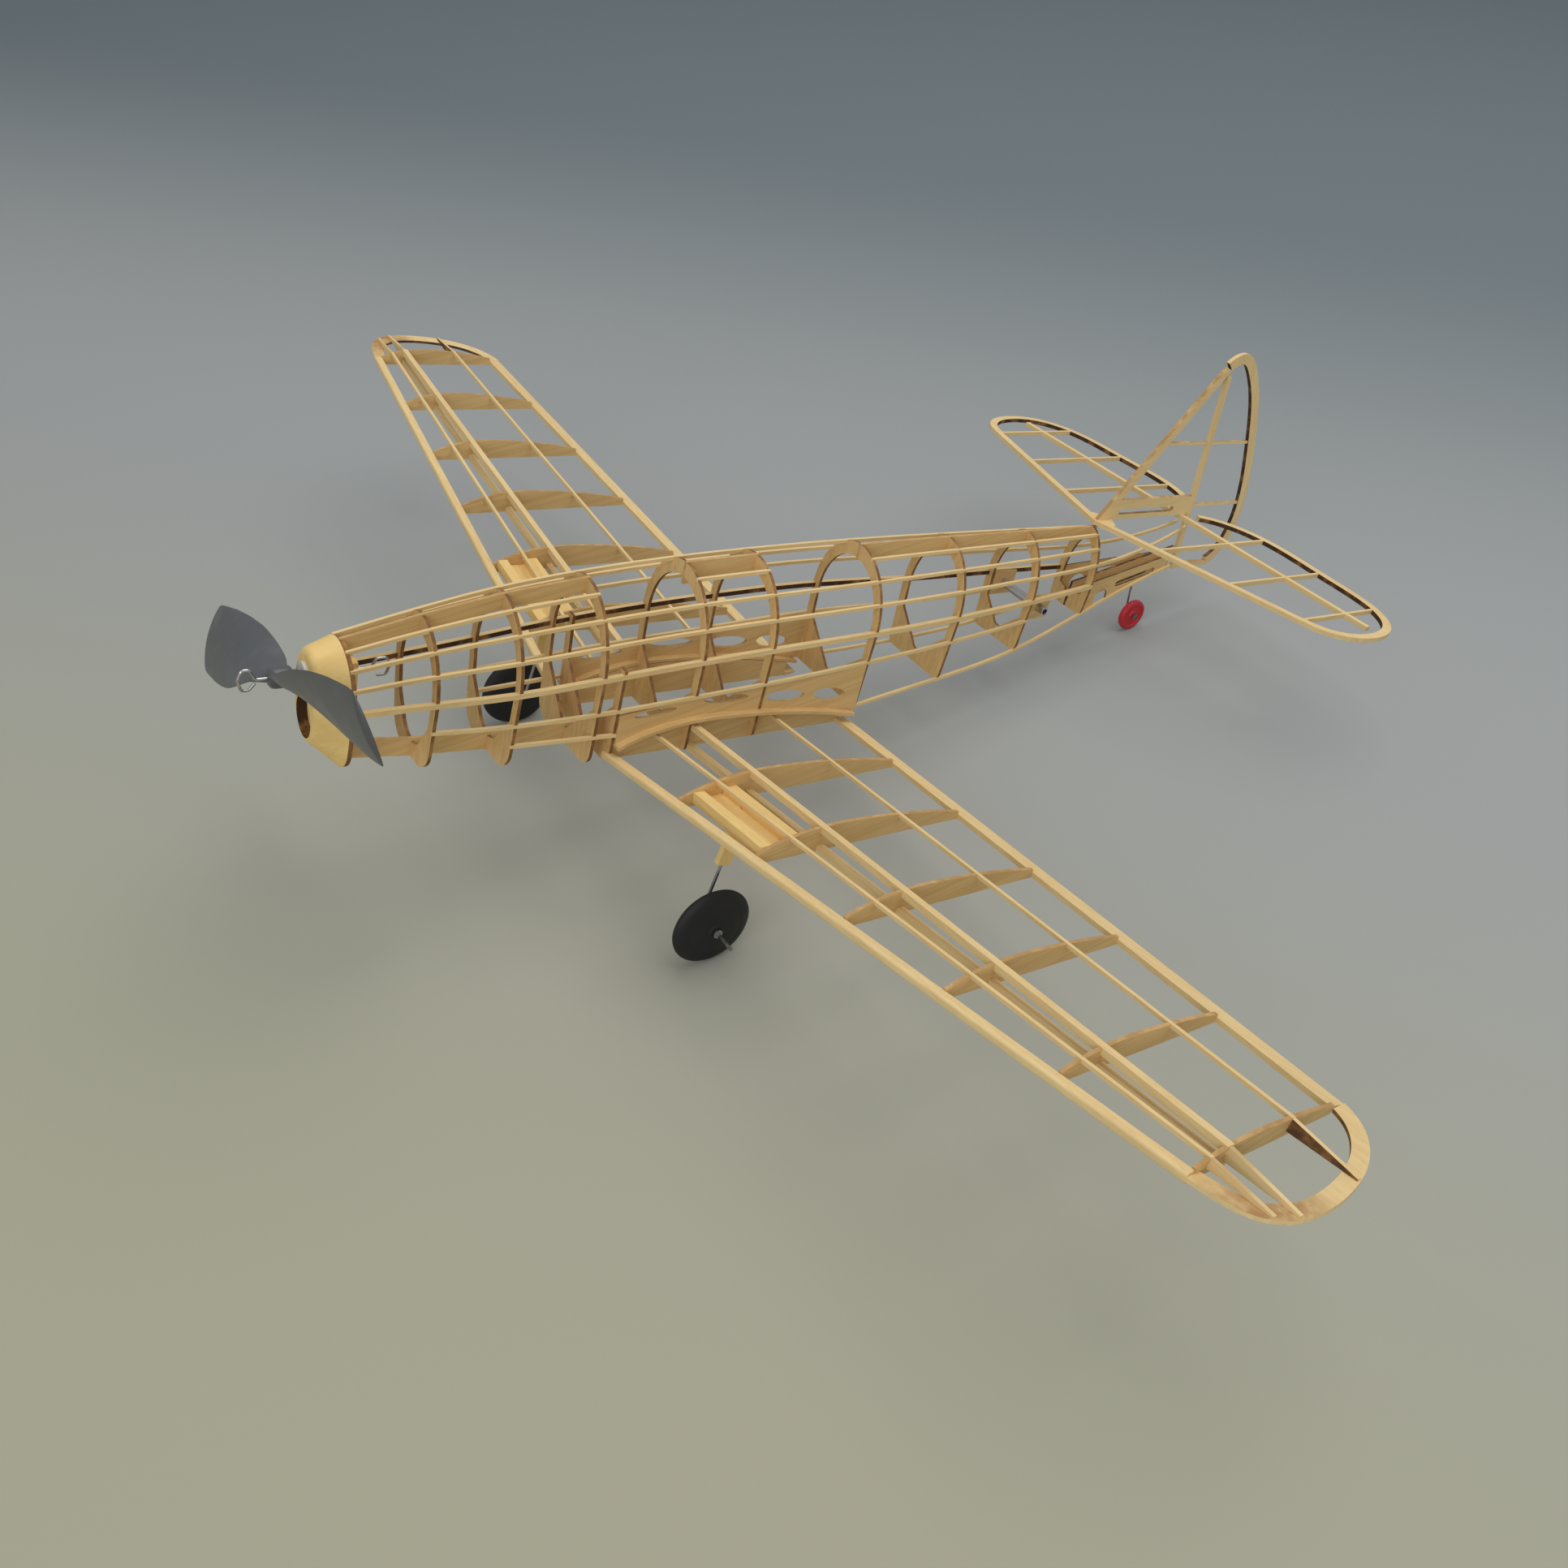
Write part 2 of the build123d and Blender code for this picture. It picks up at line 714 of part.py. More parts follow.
def saddle_side(strip):
    """Side sheet between the saddle strip and the side stringer, with four lens-shaped cut-outs."""
    low = curve_over_rib(proud + sheet, saddle_front, saddle_back)
    flank = [(y, z) for _, y, z in flank_line]
    top_front = (saddle_front, flank[2][1] + 0.6 - (flank[3][1] - flank[2][1]) * 0.8)
    with BuildPart() as side:
        with BuildSketch(Plane.YZ.offset(saddle_inner)):
            with BuildLine():
                Spline(*low)
                Polyline(low[-1], (saddle_back, flank[5][1]), (flank[4][0], flank[4][1]),
                         (flank[3][0], flank[3][1]), top_front, low[0])
            make_face()
            for lens in saddle_lenses:
                height = upper_z(root_rib_x, lens.y) + root_lift + sheet + lens.lift
                with Locations(Location((lens.y, height), (0, 0, lens.tilt))):
                    Ellipse(lens.half_length, lens.half_height, mode=Mode.SUBTRACT)
        extrude(amount=sheet)
    return without(side.part, strip, bent_stick(flank_line, stringer_size)).part


strip_part = saddle_strip()
saddle_part = saddle_side(strip_part)
keep("wing_saddle_strips", group(strip_part, reflected(strip_part)))
keep("wing_saddle_sides", group(saddle_part, reflected(saddle_part)))


# ---- formers
def former_plane(y):
    return Plane(origin=(0, y, 0), x_dir=(1, 0, 0), z_dir=(0, -1, 0))


hole_floor = 7.0             # wood left under a former's opening
vee_half = 4.0               # half width of the opening's rounded foot
belly_vee_half = 10.0


def former_outline(section):
    EllipticalCenterArc((0, section.mid), section.half, section.top - section.mid, arc_size=180)
    Polyline((-section.half, section.mid), (-section.base, section.bottom),
             (section.base, section.bottom), (section.half, section.mid))


def opening_outline(section, foot):
    """Opening of a former: elliptical head, straight sides and a vee down to a rounded foot."""
    half = section.half - side_rim
    knee_z = section.mid + (section.bottom - section.mid) * side_share
    knee = section.half + (section.base - section.half) * side_share - side_rim
    floor = section.bottom + hole_floor
    EllipticalCenterArc((0, section.mid), half, section.top - section.mid - top_rim, arc_size=180)
    Polyline((-half, section.mid), (-knee, knee_z), (-foot, floor + foot * 0.6))
    ThreePointArc((-foot, floor + foot * 0.6), (0, floor), (foot, floor + foot * 0.6))
    Polyline((foot, floor + foot * 0.6), (knee, knee_z), (half, section.mid))


def former(section, foot):
    with BuildPart() as plate:
        with BuildSketch(former_plane(section.y)) as face:
            with BuildLine():
                former_outline(section)
            make_face()
            fillet(face.vertices().sort_by(Axis.Y)[:2], section.corner)
            with BuildLine():
                opening_outline(section, foot)
            make_face(mode=Mode.SUBTRACT)
        extrude(amount=-sheet)
    return plate.part


def firewall(section):
    """First former: a full plate with the square hole that the nose plug fits."""
    hole = plug_side + 2 * plug_clearance
    with BuildPart() as plate:
        with BuildSketch(former_plane(section.y)) as face:
            with BuildLine():
                former_outline(section)
            make_face()
            fillet(face.vertices().sort_by(Axis.Y)[:2], section.corner)
            Rectangle(hole, hole, mode=Mode.SUBTRACT)
        extrude(amount=-sheet)
    return plate.part


def half_former(front, back):
    """Lower half former under the wing leading edge, open at the top."""
    share = (half_former_y - front.y) / (back.y - front.y)
    blend = Section(*[a + (b - a) * share for a, b in zip(front, back)])
    with BuildPart() as plate:
        with BuildSketch(former_plane(blend.y)) as face:
            with BuildLine():
                Polyline((-blend.half, blend.mid + 3.0), (-blend.base, blend.bottom),
                         (blend.base, blend.bottom), (blend.half, blend.mid + 3.0), close=True)
            make_face()
            fillet(face.vertices().sort_by(Axis.Y)[:2], blend.corner)
            with BuildLine():
                opening_outline(blend, vee_half)
            make_face(mode=Mode.SUBTRACT)
        extrude(amount=-sheet)
    return plate.part


through_nose = [
    pieces["deck_stringers_left"], pieces["deck_stringers_right"], pieces["main_longeron_left"],
    pieces["main_longeron_right"], pieces["side_stringers_left"], pieces["side_stringers_right"],
    pieces["nose_deck_keel"], pieces["nose_belly_keel"], pieces["cockpit_deck_keel"],
]
through_wing = [
    pieces[f"{name}_{side}"] for name in ("wing_ribs", "wing_spars", "wing_leading_edge", "wing_trailing_edge")
    for side in ("left", "right")
] + [pieces["wing_saddle_strips"], pieces["wing_saddle_sides"]]
through_tail = [pieces["rear_deck_keel"], pieces["tail_belly_keel"], pieces["bottom_longerons"],
                pieces["stabiliser_leading_edge"]]
crossing = through_nose + through_wing + through_tail


def main_solid(part):
    """The largest solid, so that a chip left by notching does not stay."""
    return part.solids().sort_by(SortBy.VOLUME)[-1]


def touching(part, others):
    box = part.bounding_box()
    low, high = box.min, box.max
    found = []
    for other in others:
        b = other.bounding_box()
        if (b.min.X < high.X and b.max.X > low.X and b.min.Y < high.Y and b.max.Y > low.Y
                and b.min.Z < high.Z and b.max.Z > low.Z):
            found.append(other)
    return found


def keep_former(name, blank):
    notched = without(blank, *touching(blank, crossing)).part
    keep(name, group(main_solid(notched)))


keep_former("former_1_firewall", firewall(sections["1"]))
for number in ("2", "3"):
    keep_former(f"former_{number}", former(sections[number], belly_vee_half))
for number in ("4", "5", "6", "7", "8", "9", "10"):
    keep_former(f"former_{number}", former(sections[number], vee_half))
keep_former("half_former_leading_edge", half_former(sections["4"], sections["5"]))


# ---- rear motor peg: an aluminium tube across the fuselage in two sheet pads
peg_y = 381.5
pad_width = 16.0
pad_height = 14.0


def half_width(y):
    places = list(sections.values())
    for front, back in zip(places, places[1:]):
        if y <= back.y:
            return front.half + (back.half - front.half) * (y - front.y) / (back.y - front.y)
    return places[-1].half


def peg_pads():
    outer = half_width(peg_y + pad_width / 2) - 1.3
    sticks = [pieces[f"{name}_left"] for name in ("main_longeron", "side_stringers")]
    sticks += [pieces[f"{name}_right"] for name in ("main_longeron", "side_stringers")]
    pads = []
    for sign in (1, -1):
        with BuildPart() as pad:
            with BuildSketch(Plane.YZ.offset(sign * outer)):
                with Locations((peg_y, peg_z)):
                    Rectangle(pad_width, pad_height)
                    Circle(peg_diameter / 2, mode=Mode.SUBTRACT)
            extrude(amount=-sign * sheet)
        pads.append(main_solid(without(pad.part, *sticks).part))
    return group(*pads)


peg_plane = Plane(origin=(-peg_length / 2, peg_y, peg_z), x_dir=(0, 1, 0), z_dir=(1, 0, 0))
with BuildPart() as motor_peg:
    with BuildSketch(peg_plane):
        Circle(peg_diameter / 2)
        Circle(peg_bore / 2, mode=Mode.SUBTRACT)
    extrude(amount=peg_length)
keep("motor_peg_pads", peg_pads())
keep("motor_peg", motor_peg)


# ---- nose block, thrust button, propeller and shaft
front_height = 20.5          # half height of the block's front face
front_half = 13.0
front_centre_z = -9.5
carve_radius = 4.0
intake_depth = 4.5           # rounded recess under the thrust button
intake_z = -19.6
intake_half = 8.8
intake_half_height = 9.4
vent_x, vent_z = 4.6, -18.0  # small oval hole in the floor of the recess
vent_half, vent_half_height = 1.4, 2.9
vent_depth = 3.0
button_back = plug_depth
flange_thick = 1.5
running_gap = 0.4            # between the washer and the button, and between moving faces

nose_plane = Plane(origin=(0, 0, 0), x_dir=(1, 0, 0), z_dir=(0, -1, 0))
flange_front = block_length + flange_thick
hub_back = flange_front + running_gap + washer_thick + 3.0
bead_length = hub_back - flange_front - running_gap - washer_thick
hub_front = hub_back + hub_length


def nose_block():
    section = sections["1"]
    with BuildPart() as block:
        with BuildSketch(nose_plane.offset(seat_gap)) as back_face:
            with BuildLine():
                former_outline(section)
            make_face()
            fillet(back_face.vertices().sort_by(Axis.Y)[:2], section.corner)
        with BuildSketch(nose_plane.offset(block_length)):
            with Locations((0, front_centre_z)):
                Ellipse(front_half, front_height)
        loft()
        fillet(block.faces().sort_by(Axis.Y)[0].edges(), carve_radius)
        with BuildSketch(nose_plane.offset(block_length)):
            with Locations((0, intake_z)):
                Ellipse(intake_half, intake_half_height)
        extrude(amount=-intake_depth, mode=Mode.SUBTRACT)
        with BuildSketch(nose_plane.offset(block_length - intake_depth)):
            with Locations((vent_x, vent_z)):
                Ellipse(vent_half, vent_half_height)
        extrude(amount=-vent_depth, mode=Mode.SUBTRACT)
        with BuildSketch(nose_plane.offset(seat_gap)):
            Rectangle(plug_side, plug_side)
        extrude(amount=-plug_depth - seat_gap)
        with BuildSketch(nose_plane.offset(-plug_depth)):
            Circle(button_diameter / 2)
        extrude(amount=plug_depth + block_length, mode=Mode.SUBTRACT)
    return block


def thrust_button():
    with BuildPart() as button:
        with BuildSketch(nose_plane.offset(-button_back)):
            Circle(button_diameter / 2)
        extrude(amount=button_back + block_length)
        with BuildSketch(nose_plane.offset(block_length)):
            Circle(button_flange / 2)
        extrude(amount=flange_thick)
        with BuildSketch(nose_plane.offset(-button_back)):
            Circle(shaft_diameter / 2 + shaft_clearance)
        extrude(amount=button_back + flange_front, mode=Mode.SUBTRACT)
    return button


loop_half_height = 4.6
loop_depth = 6.4
hook_half_height = 4.0


def prop_shaft():
    """Wire shaft with a winding loop in front of the hub and a motor hook behind the plug."""
    loop = -(hub_front + 5.5)
    hook = button_back + 8.0
    bend = 1.5
    route = [
        (loop + 0.4, -1.7), (loop - 2.0, -loop_half_height), (loop - loop_depth + 1.6, -loop_half_height),
        (loop - loop_depth, 0.4), (loop - loop_depth + 1.6, loop_half_height), (loop - 2.0, loop_half_height),
        (loop + 0.4, 0), (hook, 0), (hook + 2.2, hook_half_height), (hook + 6.4, hook_half_height),
        (hook + 8.0, 0.3), (hook + 6.4, -hook_half_height), (hook + 2.6, -hook_half_height),
    ]
    with BuildPart() as shaft:
        with BuildLine(Plane.YZ) as path:
            FilletPolyline(*route, radius=bend)
        with BuildSketch(Plane(origin=path.line @ 0, z_dir=path.line % 0)):
            Circle(shaft_diameter / 2)
        sweep(path=path.line)
    return shaft


def ring_on_shaft(back, thick, outer):
    with BuildPart() as ring:
        with BuildSketch(nose_plane.offset(back)):
            Circle(outer / 2)
            Circle(shaft_diameter / 2, mode=Mode.SUBTRACT)
        extrude(amount=thick)
    return ring.part


blade_stations = (0.02, 0.16, 0.3, 0.5, 0.72, 0.9, 1.0)   # shares of the blade's reach
blade_chords = (7.0, 15.0, 24.0, 31.0, 33.0, 31.0, 27.0)
blade_thick = (4.4, 3.4, 2.6, 2.1, 1.8, 1.6, 1.4)
least_twist = 0.16           # inside this share of the reach the blade twists no further


def blade():
    """One blade: cambered sections along the left arm, turned to a helix of constant pitch."""
    reach = propeller_diameter / 2
    with BuildPart() as arm:
        for share, chord, thick in zip(blade_stations, blade_chords, blade_thick):
            radius = reach * share
            turn = atan(propeller_pitch / (2 * pi * max(radius, reach * least_twist)))
            plane = Plane(origin=(radius, 0, 0), x_dir=(0, -sin(turn), cos(turn)), z_dir=(1, 0, 0))
            camber = chord * 0.05
            with BuildSketch(plane):
                with BuildLine():
                    ThreePointArc((-chord / 2, 0), (0, camber + thick / 2), (chord / 2, 0))
                    ThreePointArc((chord / 2, 0), (0, camber - thick / 2), (-chord / 2, 0))
                make_face()
        loft()
    return arm.part


def propeller(shaft):
    hub_middle = -(hub_back + hub_length / 2)
    arm = blade()
    with BuildPart() as prop:
        with BuildSketch(nose_plane.offset(hub_back)):
            Circle(hub_diameter / 2)
        extrude(amount=hub_length)
        add(Pos(0, hub_middle, 0) * Rot(Y=-propeller_rest_angle) * arm)
        add(Pos(0, hub_middle, 0) * Rot(Y=180 - propeller_rest_angle) * arm)
        add(shaft, mode=Mode.SUBTRACT)
    return prop


shaft = prop_shaft()
keep("nose_block", nose_block())
keep("thrust_button", thrust_button())
keep("prop_shaft", shaft)
keep("prop_bead", group(
    ring_on_shaft(flange_front + running_gap, washer_thick, 5.0),
    ring_on_shaft(flange_front + running_gap + washer_thick, bead_length, 4.0),
))
keep("propeller", propeller(shaft.part))


# ---- main gear
axle_stub = 12.0             # wire showing outside each main wheel
hub_half = wheel_width / 2
wire_y = 147.0
plate_front, plate_back = 130.6, 152.6
plate_lift = 0.9
first_rib, second_rib = rib_places[1], rib_places[2]


def bay_stick(y, lift, width, height):
    """Stick between the first two outer ribs, following the dihedral at a lift above the chord plane."""
    low, high = first_rib + rib_half, second_rib - rib_half
    return straight_stick((low, y, plane_z(low) + lift), (high, y, plane_z(high) + lift), width, height)


def wire_piece(route, diameter, bend):
    with BuildPart() as wire:
        with BuildLine() as path:
            FilletPolyline(*route, radius=bend)
        with BuildSketch(Plane(origin=path.line @ 0, z_dir=path.line % 0)):
            Circle(diameter / 2)
        sweep(path=path.line)
    return wire.part


leg_x = wheel_x - hub_half - end_gap - retainer_thick - 2.4
groove_lift = plate_lift + sheet / 2 + gear_wire / 2
leg_route = [
    (first_rib + 4.0, wire_y, plane_z(first_rib + 4.0) + groove_lift),
    (leg_x, wire_y, plane_z(leg_x) + groove_lift),
    (leg_x, wheel_y, wheel_z),
    (wheel_x + hub_half + axle_stub, wheel_y, wheel_z),
]
leg = wire_piece(leg_route, gear_wire, 2.4)
fairing_reach = (3.0, 27.0)  # from the wing down the leg
fairing_width, fairing_thick = 7.0, 3.0


def leg_fairing():
    """Balsa strip along the upper leg, with the wire let into it."""
    top = Vector(leg_x, wire_y, plane_z(leg_x))
    down = (Vector(leg_x, wheel_y, wheel_z) - top).normalized()
    start, end = (top + down * reach for reach in fairing_reach)
    strip = straight_stick(tuple(start), tuple(end), fairing_thick, fairing_width, up=(0, 1, 0))
    return without(strip, leg).part


def gear_mount():
    plate = bay_stick((plate_front + plate_back) / 2, plate_lift, plate_back - plate_front, sheet)
    rail_lift = plate_lift + sheet / 2 + 1.7
    front_rail = bay_stick(plate_front + 2.6, rail_lift, 5.2, 3.4)
    back_rail = bay_stick(plate_back - 3.2, rail_lift, 6.4, 3.4)
    cutters = [leg, le_part] + rib_parts + spar_parts
    return [without(part, *cutters).part for part in (plate, front_rail, back_rail)]


mount_parts = [main_solid(part) for part in gear_mount()]
fairing_part = leg_fairing()
keep("gear_mounts", group(*mount_parts, *[reflected(part) for part in mount_parts]))
keep("gear_legs", group(leg, reflected(leg)))
keep("gear_fairings", group(fairing_part, reflected(fairing_part)))


def wheel_plane(x, y, z):
    return Plane(origin=(x, y, z), x_dir=(1, 0, 0), z_dir=(0, -1, 0))


def wheel(x, y, z, diameter, width, bore):
    """Lens-shaped wheel: flat hub faces, sides falling to a rounded rim, turned about its axle."""
    rim = diameter / 2
    half = width / 2
    with BuildPart() as disc:
        with BuildSketch(wheel_plane(x, y, z)):
            with BuildLine():
                Polyline((half, bore), (half, rim * 0.2), (half * 0.86, rim * 0.24))
                ThreePointArc((half * 0.86, rim * 0.24), (half * 0.8, rim * 0.66), (half * 0.5, rim * 0.9))
                ThreePointArc((half * 0.5, rim * 0.9), (0, rim), (-half * 0.5, rim * 0.9))
                ThreePointArc((-half * 0.5, rim * 0.9), (-half * 0.8, rim * 0.66), (-half * 0.86, rim * 0.24))
                Polyline((-half * 0.86, rim * 0.24), (-half, rim * 0.2), (-half, bore), (half, bore))
            make_face()
        revolve(axis=Axis((x, y, z), (1, 0, 0)))
    return disc


def retainer(x, y, z, outer, inner, sign):
    """Washer on an axle, its near face at x."""
    with BuildPart() as ring:
        with BuildSketch(Plane(origin=(x, y, z), x_dir=(0, 1, 0), z_dir=(sign, 0, 0))):
            Circle(outer / 2)
            Circle(inner / 2, mode=Mode.SUBTRACT)
        extrude(amount=retainer_thick)
    return ring.part


main_bore = gear_wire / 2 + axle_clearance
tail_bore = tail_wire / 2 + axle_clearance
keep("wheel_left", wheel(wheel_x, wheel_y, wheel_z, wheel_diameter, wheel_width, main_bore))
keep("wheel_right", wheel(-wheel_x, wheel_y, wheel_z, wheel_diameter, wheel_width, main_bore))
keep("tail_wheel", wheel(0, tail_wheel_y, tail_wheel_z, tail_wheel_diameter, tail_wheel_width, tail_bore))

rings = []
for side in (1, -1):
    for sign in (1, -1):
        face = side * wheel_x + sign * (hub_half + end_gap)
        rings.append(retainer(face, wheel_y, wheel_z, 4.4, gear_wire, sign))
for sign in (1, -1):
    face = sign * (tail_wheel_width / 2 + end_gap)
    rings.append(retainer(face, tail_wheel_y, tail_wheel_z, 3.2, tail_wire, sign))
keep("wheel_retainers", group(*rings))

tail_side_x = tail_wheel_width / 2 + end_gap + retainer_thick + 1.6
keel_low = sections["10"].bottom
keel_rise = (11.5 - keel_low) / (tail_post_y - sections["10"].y)


def keel_under(y):
    return keel_low + keel_rise * (y - sections["10"].y) - tail_wire / 2 * hypot(1, keel_rise)


tail_route = [
    (0, 452.0, keel_under(452.0)), (0, 474.0, keel_under(474.0)),
    (-tail_side_x, tail_wheel_y - 3.0, tail_wheel_z + 13.0),
    (-tail_side_x, tail_wheel_y, tail_wheel_z), (tail_wheel_width / 2 + 3.4, tail_wheel_y, tail_wheel_z),
]
keep("tail_wheel_wire", group(wire_piece(tail_route, tail_wire, 1.8)))


# ---- tail side plates between the main longeron's end and the lower corner
def tail_side_plates():
    front_y, back_y = sections["10"].y + sheet, tail_post_y - 5.0
    front_x, back_x = sections["10"].half - 1.9, 3.4
    run = Vector(back_x - front_x, back_y - front_y, 0)
    plane = Plane(origin=(front_x, front_y, 0), x_dir=run.normalized(), z_dir=(run.Y, -run.X, 0))
    length = run.length
    front_low, front_high = sections["10"].bottom + 2.0, sections["10"].mid + 1.2
    with BuildPart() as plate:
        with BuildSketch(plane):
            with BuildLine():
                Polyline((0, front_low), (length, 12.4), (length, 19.6), (0, front_high), close=True)
            make_face()
            with Locations((length * 0.2, front_low + 6.6)):
                Circle(5.4, mode=Mode.SUBTRACT)
            with Locations(Location((length * 0.6, 9.4), (0, 0, 8.0))):
                SlotOverall(length * 0.5, 3.4, mode=Mode.SUBTRACT)
        extrude(amount=-sheet / 2)
    cut = without(plate.part, pieces["bottom_longerons"], pieces["former_10"], pieces["main_longeron_left"])
    return main_solid(cut.part)


tail_plate = tail_side_plates()
keep("tail_side_plates", group(tail_plate, reflected(tail_plate)))


# ---- stand every piece on the ground and save it
os.makedirs("parts", exist_ok=True)
tilt = Rot(X=-stance)
extents = [(tilt * piece).bounding_box() for piece in pieces.values()]
low_y = min(box.min.Y for box in extents)
high_y = max(box.max.Y for box in extents)
low_z = min(box.min.Z for box in extents)
stand_up = Pos(0, -(low_y + high_y) / 2, -low_z) * tilt
for name, piece in pieces.items():
    placed = stand_up * piece
    placed.label = name
    export_step(placed, f"parts/{name}.step")
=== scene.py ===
import bmesh
import bpy
import json
import math
import numpy as np
from mathutils import Matrix, Vector


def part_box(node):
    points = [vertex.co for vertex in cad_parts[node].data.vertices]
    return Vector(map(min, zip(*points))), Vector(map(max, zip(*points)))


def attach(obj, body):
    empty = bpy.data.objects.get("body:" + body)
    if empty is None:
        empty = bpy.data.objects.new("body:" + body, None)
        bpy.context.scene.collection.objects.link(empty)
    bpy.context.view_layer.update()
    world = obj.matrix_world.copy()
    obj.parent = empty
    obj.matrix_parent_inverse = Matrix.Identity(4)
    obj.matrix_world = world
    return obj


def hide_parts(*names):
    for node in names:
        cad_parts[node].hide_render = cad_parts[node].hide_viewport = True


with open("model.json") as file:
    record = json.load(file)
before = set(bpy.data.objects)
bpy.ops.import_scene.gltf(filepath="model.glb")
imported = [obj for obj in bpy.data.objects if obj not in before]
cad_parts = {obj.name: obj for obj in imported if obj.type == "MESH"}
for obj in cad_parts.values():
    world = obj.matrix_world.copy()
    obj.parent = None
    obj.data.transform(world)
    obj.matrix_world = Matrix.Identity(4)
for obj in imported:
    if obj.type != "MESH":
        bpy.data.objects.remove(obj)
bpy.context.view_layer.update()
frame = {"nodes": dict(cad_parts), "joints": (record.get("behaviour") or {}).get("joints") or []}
nodes = frame["nodes"]
joints = {joint["name"]: joint for joint in frame["joints"]}
print("frame loaded:", len(nodes), "pieces")

cameraSet = {
    "spot": (0.48726, -0.36387, 0.47477),   # metres from the ground point under the middle of the model
    "heading": 55.83,                       # degrees round from the nose, towards the left wing
    "lookDown": 39.90,
    "roll": 2.20,
    "lens": 32.65,
}


def makeCamera(settings):
    # looks along heading and lookDown, then rolls about its own view line
    heading, down = math.radians(settings["heading"]), math.radians(settings["lookDown"])
    back = Vector((math.sin(heading) * math.cos(down), -math.cos(heading) * math.cos(down), math.sin(down)))
    right = Vector((math.cos(heading), math.sin(heading), 0))
    up = back.cross(right)
    roll = math.radians(settings["roll"])
    right, up = math.cos(roll) * right + math.sin(roll) * up, math.cos(roll) * up - math.sin(roll) * right
    data = bpy.data.cameras.new("viewCamera")
    data.lens, data.sensor_width = settings["lens"], 36
    data.clip_start, data.clip_end = 0.01, 60
    camera = bpy.data.objects.new("viewCamera", data)
    turn = Matrix((right, up, back)).transposed().to_4x4()
    camera.matrix_world = Matrix.Translation(settings["spot"]) @ turn
    bpy.context.scene.collection.objects.link(camera)
    bpy.context.scene.camera = camera


lightSet = {
    "overhead": {"spot": (0.2, 0.7, 2.4), "aim": (0, 0, 0), "size": 2.4, "watts": 36,
                 "tint": (1, 0.975, 0.94)},
    "fill": {"spot": (1.5, -2.2, 1.5), "aim": (0, 0, 0.05), "size": 2.0, "watts": 26,
             "tint": (0.93, 0.97, 1)},
    "sky": {"tint": (0.86, 0.93, 1.0), "strength": 0.42},
}


def makeLights(settings):
    for name in ("overhead", "fill"):
        lamp = settings[name]
        data = bpy.data.lights.new(name, "AREA")
        data.shape, data.size, data.energy, data.color = "DISK", lamp["size"], lamp["watts"], lamp["tint"]
        light = bpy.data.objects.new(name, data)
        light.location = lamp["spot"]
        aim = Vector(lamp["aim"]) - Vector(lamp["spot"])
        light.rotation_euler = aim.to_track_quat("-Z", "Y").to_euler()
        bpy.context.scene.collection.objects.link(light)
    world = bpy.data.worlds.new("studio")
    world.use_nodes = True
    shade = world.node_tree.nodes["Background"]
    shade.inputs["Color"].default_value = (*settings["sky"]["tint"], 1)
    shade.inputs["Strength"].default_value = settings["sky"]["strength"]
    bpy.context.scene.world = world


makeCamera(cameraSet)
makeLights(lightSet)
bpy.context.scene.view_settings.view_transform = "Standard"
print("camera and lights set")


def meshPiece(name, points, faces, smooth=True):
    mesh = bpy.data.meshes.new(name)
    mesh.from_pydata(points.tolist(), [], faces.tolist() if hasattr(faces, "tolist") else faces)
    mesh.validate()
    mesh.polygons.foreach_set("use_smooth", np.full(len(mesh.polygons), smooth))
    mesh.update()
    piece = bpy.data.objects.new(name, mesh)
    bpy.context.scene.collection.objects.link(piece)
    return piece


def gridFaces(rows, columns, closed=True, start=0):
    # quads between neighbouring rows; closed joins the last column to the first
    spread = columns if closed else columns - 1
    row, column = np.meshgrid(np.arange(rows - 1), np.arange(spread), indexing="ij")
    after = (column + 1) % columns
    quads = np.stack([row * columns + column, row * columns + after,
                      (row + 1) * columns + after, (row + 1) * columns + column], -1)
    return quads.reshape(-1, 4) + start


def lathe(profile, centre, axis, spokes):
    # a ring of radius r at distance a along the axis for each profile point (a, r), r above zero
    axis = Vector(axis).normalized()
    side = axis.orthogonal().normalized()
    other = axis.cross(side)
    along, radius = np.array(profile, float).T
    angle = np.linspace(0, 2 * np.pi, spokes, endpoint=False)
    ring = np.cos(angle)[:, None] * np.array(side) + np.sin(angle)[:, None] * np.array(other)
    points = np.array(centre) + along[:, None, None] * np.array(axis) + radius[:, None, None] * ring
    return points.reshape(-1, 3), gridFaces(len(along), spokes)


def joined(*shells):
    points, faces, start = [], [], 0
    for somePoints, someFaces in shells:
        points.append(np.asarray(somePoints))
        faces += [[int(v) + start for v in face] for face in someFaces]
        start += len(somePoints)
    return np.concatenate(points), faces


def merge(piece, gap=1e-6):
    # joins points closer than gap, so the lathe's two ends close
    work = bmesh.new()
    work.from_mesh(piece.data)
    bmesh.ops.remove_doubles(work, verts=work.verts, dist=gap)
    work.to_mesh(piece.data)
    work.free()


def outward(piece):
    work = bmesh.new()
    work.from_mesh(piece.data)
    bmesh.ops.recalc_face_normals(work, faces=work.faces)
    work.to_mesh(piece.data)
    work.free()
    return piece


def newGroup(name, inputs, outputs):
    group = bpy.data.node_groups.new(name, "ShaderNodeTree")
    for label, kind, value in inputs:
        socket = group.interface.new_socket(label, in_out="INPUT", socket_type="NodeSocket" + kind)
        if value is not None:
            socket.default_value = value
    for label, kind in outputs:
        group.interface.new_socket(label, in_out="OUTPUT", socket_type="NodeSocket" + kind)
    return group, group.nodes.new("NodeGroupInput"), group.nodes.new("NodeGroupOutput")


